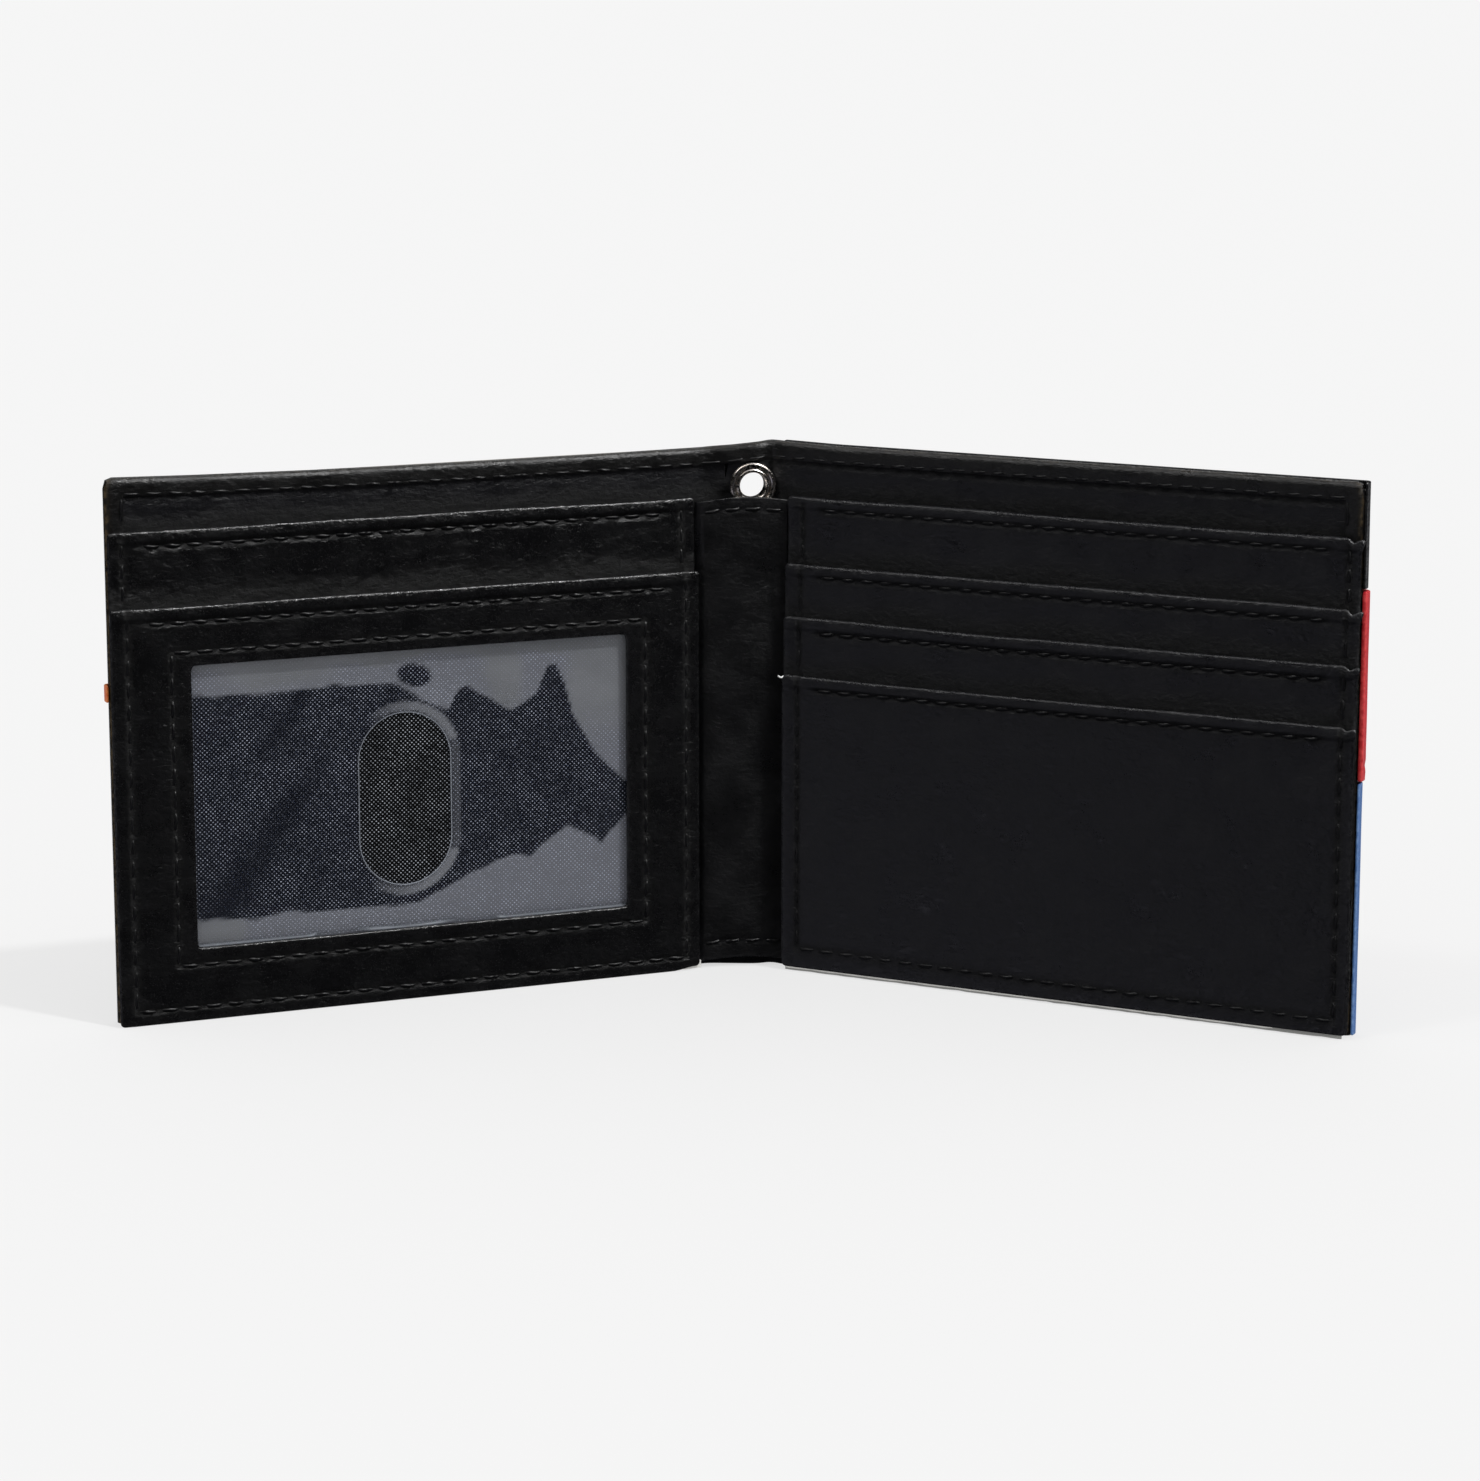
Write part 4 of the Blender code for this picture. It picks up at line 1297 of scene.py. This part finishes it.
def panel(half, node, look, wraps=True, thick=PANEL, trim=0.0, seams=()):
    """A leather panel on the cover's back. Where it wraps, its end turns round the half's outer edge.

    trim is how far its top stands below its plain node's. Returns the depth of its face.
    """
    span = half.span(node)
    inner = half.span(f"{half.word}_cover").b1 + GAP
    radius = 0.45
    end_s = outer_edge(half) + thick + 0.06
    corner_s = end_s - thick - radius if wraps else span.s1
    corner_b = inner - radius
    middle = radius + thick / 2
    quarter = middle * math.pi / 2

    def turned(s, b, z):
        if not wraps:
            return half.along_cover(s, b, z)
        s, b, z = np.broadcast_arrays(np.asarray(s, float), b, z)
        w = b - corner_b
        a = np.clip((s - corner_s) / middle, 0, math.pi / 2)
        past = np.maximum(s - corner_s - quarter, 0)
        new_s = np.where(s <= corner_s, s, corner_s + w * np.sin(a))
        new_b = np.where(s <= corner_s, b, corner_b + w * np.cos(a) - past)
        return half.along_cover(new_s, new_b, z)

    end = span.s1
    if wraps:
        end = corner_s + quarter + corner_b - min(span.b0, 3.5) + 0.1
    s_lines = lines(span.s0, end, 1.5, [corner_s + 0.3, corner_s + quarter] if wraps else ())
    step = 1.3 if span.z1 - span.z0 > 5 else 0.5
    z_lines = lines(span.z0, span.z1 - trim, step, fine_places(seams, 1))

    def back(s, z):
        return inner + thick + waves(s, z, 13.0, 0.07, span.z0) - seam_groove(s, z, seams, 0.12)

    obj = sheet(f"{node}_leather", turned, s_lines, z_lines, level(inner), back, min(0.2, thick * 0.45), 0.5)
    settle(obj, look, half.body, [node])
    return inner + thick


def build_back():
    block_out = panel(LEFT, "left_cover_block", RED, wraps=False, trim=0.35)
    stripe_out = panel(LEFT, "left_cover_stripe", ORANGE)
    block, stripe = LEFT.span("left_cover_block"), LEFT.span("left_cover_stripe")
    skin = LEFT.span("left_cover").b1
    s0, z0, s1, z1 = seam_box(LEFT, "left_back_seam")
    runs = [
        run(((s0, z1), (block.s0 - 0.5, z1)), skin, 1),
        run(((block.s0 + 0.5, z1), (block.s1 - 0.5, z1)), block_out, 1),
        run(((block.s1 + 0.5, z1), (s1, z1)), skin, 1),
        run(((s1, z1), (s1, stripe.z1 + 0.6)), skin, 1),
        run(((s1, stripe.z0 - 0.6), (s1, z0)), skin, 1),
        run(((s1, z0), (s0, z0)), skin, 1),
    ]
    inner, outer, foot, below = block.s0 + 1.4, block.s1 - 1.4, block.z0 + 1.4, z1 - 1.5
    runs.append(run(((inner, foot), (outer, foot)), block_out, 1))
    runs += [run(((s, foot), (s, below)), block_out, 1) for s in (inner, outer)]
    middle = (stripe.z0 + stripe.z1) / 2
    runs.append(run(((stripe.s0 + 1.0, middle), (s1 - 1.0, middle)), stripe_out, 1))
    seam("left_back_seam", runs, LEFT.along_cover, LEFT.body, 41)

    (start, line_z), (end, _) = across(RIGHT, "right_band_seam")
    top_out = panel(RIGHT, "right_cover_top", BLACK)
    band_out = panel(RIGHT, "right_cover_band", RED, thick=BAND,
                     seams=[((start, line_z), (end + 6, line_z))])
    foot_out = panel(RIGHT, "right_cover_foot", BLUE)
    band_run = run(((start, line_z), (end - 1, line_z)), band_out, 1)
    seam("right_band_seam", [band_run], RIGHT.along_cover, RIGHT.body, 42)
    band = RIGHT.span("right_cover_band")
    s0, _, s1, top_z = seam_box(RIGHT, "right_back_top_seam")
    runs = [
        run(((s0, top_z), (s1, top_z)), top_out, 1),
        run(((s1, top_z), (s1, band.z1 + 1)), top_out, 1),
        run(((s1, band.z1 - 0.8), (s1, line_z + 1.5)), band_out, 1),
    ]
    seam("right_back_top_seam", runs, RIGHT.along_cover, RIGHT.body, 43)
    z0 = seam_box(RIGHT, "right_back_foot_seam")[1]
    runs = [run(((s0, z0), (s1, z0)), foot_out, 1), run(((s1, z0), (s1, band.z0 - 1)), foot_out, 1)]
    seam("right_back_foot_seam", runs, RIGHT.along_cover, RIGHT.body, 44)


def build_spine_back_stitches():
    """Seams across the back of the spine, at its top and foot."""
    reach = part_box("spine_back_top_seam")[1].x / MM

    def place(s, b, z):
        return np.stack(np.broadcast_arrays(s, COVER_BACK + b + crease(s), z - sag(s, z)), -1)

    for word in ("top", "foot"):
        low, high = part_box(f"spine_back_{word}_seam")
        z = (low.z + high.z) / 2 / MM
        runs = [([(x, 0.0, z) for x in np.linspace(-reach, reach, 7)], 1)]
        seam(f"spine_back_{word}_seam", runs, place, "spine", 51)


# ---------------------------------------------------------------- light, floor and camera

SURROUND = 0.905
FLOOR_GLOW = 0.63


def build_stage():
    low, high = CAD_BOX
    reach = (high - low).length * 40
    corners = [(-reach, -reach, 0), (reach, -reach, 0), (reach, reach, 0), (-reach, reach, 0)]
    look = Look("studio_paper")
    look.set(Base_Color=(0.2, 0.2, 0.2, 1), Roughness=1.0, Specular_IOR_Level=0.0)
    look.set(Emission_Color=(1, 1, 1, 1), Emission_Strength=FLOOR_GLOW)
    floor = flat_piece("studio_floor", corners, look.material)
    floor.location.z = low.z
    floor.visible_glossy = False
    world = bpy.data.worlds.new("studio_surround")
    world.use_nodes = True
    background = world.node_tree.nodes["Background"].inputs
    background["Color"].default_value = (1, 1, 1, 1)
    background["Strength"].default_value = SURROUND
    world.cycles_visibility.glossy = False
    bpy.context.scene.world = world
    bpy.context.scene.view_settings.view_transform = "Standard"


def flat_piece(name, corners, material):
    mesh = bpy.data.meshes.new(name)
    mesh.from_pydata(corners, [], [(0, 1, 2, 3)])
    mesh.materials.append(material)
    obj = bpy.data.objects.new(name, mesh)
    bpy.context.scene.collection.objects.link(obj)
    return obj


def toward(azimuth, elevation):
    """The way from the wallet to a place round it. Azimuth is from the front, positive to the right."""
    a, e = math.radians(azimuth), math.radians(elevation)
    return Vector((math.sin(a) * math.cos(e), -math.cos(a) * math.cos(e), math.sin(e)))


def turn_to(obj, way, front):
    """Turns an object so that its front axis, "Z" or "-Z", points along way."""
    obj.rotation_mode = "QUATERNION"
    obj.rotation_quaternion = way.to_track_quat(front, "Y")


def card(name, azimuth, elevation, distance, width, height, strength, color=(1, 1, 1)):
    """A studio card facing the wallet, that is only seen as a reflection."""
    look = Look(name)
    look.set(Base_Color=(0, 0, 0, 1), Roughness=1.0, Specular_IOR_Level=0.0)
    look.set(Emission_Color=(*color, 1), Emission_Strength=strength)
    look.material.cycles.emission_sampling = "NONE"
    w, h = width / 2, height / 2
    obj = flat_piece(name, [(-w, -h, 0), (w, -h, 0), (w, h, 0), (-w, h, 0)], look.material)
    way = toward(azimuth, elevation)
    obj.location = way * distance
    turn_to(obj, way, "Z")
    obj.visible_camera = False
    obj.visible_diffuse = False
    obj.visible_shadow = False
    obj.visible_transmission = False


def lamp(name, energy, aim, spread):
    """A distant lamp shining along aim, its light spread over an angle in degrees."""
    data = bpy.data.lights.new(name, "SUN")
    data.energy = energy
    data.angle = math.radians(spread)
    obj = bpy.data.objects.new(name, data)
    turn_to(obj, Vector(aim), "-Z")
    bpy.context.scene.collection.objects.link(obj)


def build_lights():
    lamp("key", 1.7, (-0.5, 0.3, -0.8), 3.5)
    lamp("fill", 0.4, (0.48, 0.32, -0.8), 8)
    card("card_left", -50, -21, 0.5, 0.4, 0.24, 0.5, (0.86, 0.86, 1.0))
    card("card_right", 50, -12, 0.5, 0.4, 0.24, 0.07, (0.9, 0.9, 1.0))
    card("card_front", 2, -12, 0.5, 0.1, 0.2, 0.14)
    card("card_left_edges", 60, 48, 0.9, 0.4, 0.34, 7.0)
    card("card_right_edges", -60, 48, 0.9, 0.36, 0.3, 2.2)
    card("card_back_left", 131, -10, 0.5, 0.36, 0.24, 0.4, (0.95, 0.96, 1.0))
    card("card_back_right", -131, -10, 0.5, 0.36, 0.24, 0.4, (0.95, 0.96, 1.0))
    card("card_back_edges", 180, 52, 0.9, 1.2, 0.3, 2.0)
    card("card_above", 0, 70, 0.9, 1.0, 0.4, 1.3)


def build_camera():
    """The photograph's viewpoint: a long lens a little right of straight on, looking down at the wallet."""
    low, high = CAD_BOX
    target = Vector(((low.x + high.x) / 2 - 0.0003, high.y - 0.00678, high.z * 0.4425))
    way, distance = toward(2.19, 11.79), 0.7615
    data = bpy.data.cameras.new("camera")
    data.lens = 111.1
    data.sensor_width = 36
    data.clip_start, data.clip_end = 0.01, 50
    camera = bpy.data.objects.new("camera", data)
    camera.location = target + way * distance
    turn_to(camera, -way, "-Z")
    bpy.context.scene.collection.objects.link(camera)
    bpy.context.scene.camera = camera


build_camera()
build_stage()
build_lights()

for half in (LEFT, RIGHT):
    start = spine_s(half, SPLIT_X)
    build_cover(half, start)
    build_lining(half, start)
    build_edge_stitches(half, start)
    dress(frame["nodes"][f"{half.word}_board"], BOARD)
build_strip()
build_eyelet()
build_left_pockets()
build_woven()
build_window()
build_card_pockets()
build_thread_end()
build_backing()
build_back()
build_spine_back_stitches()
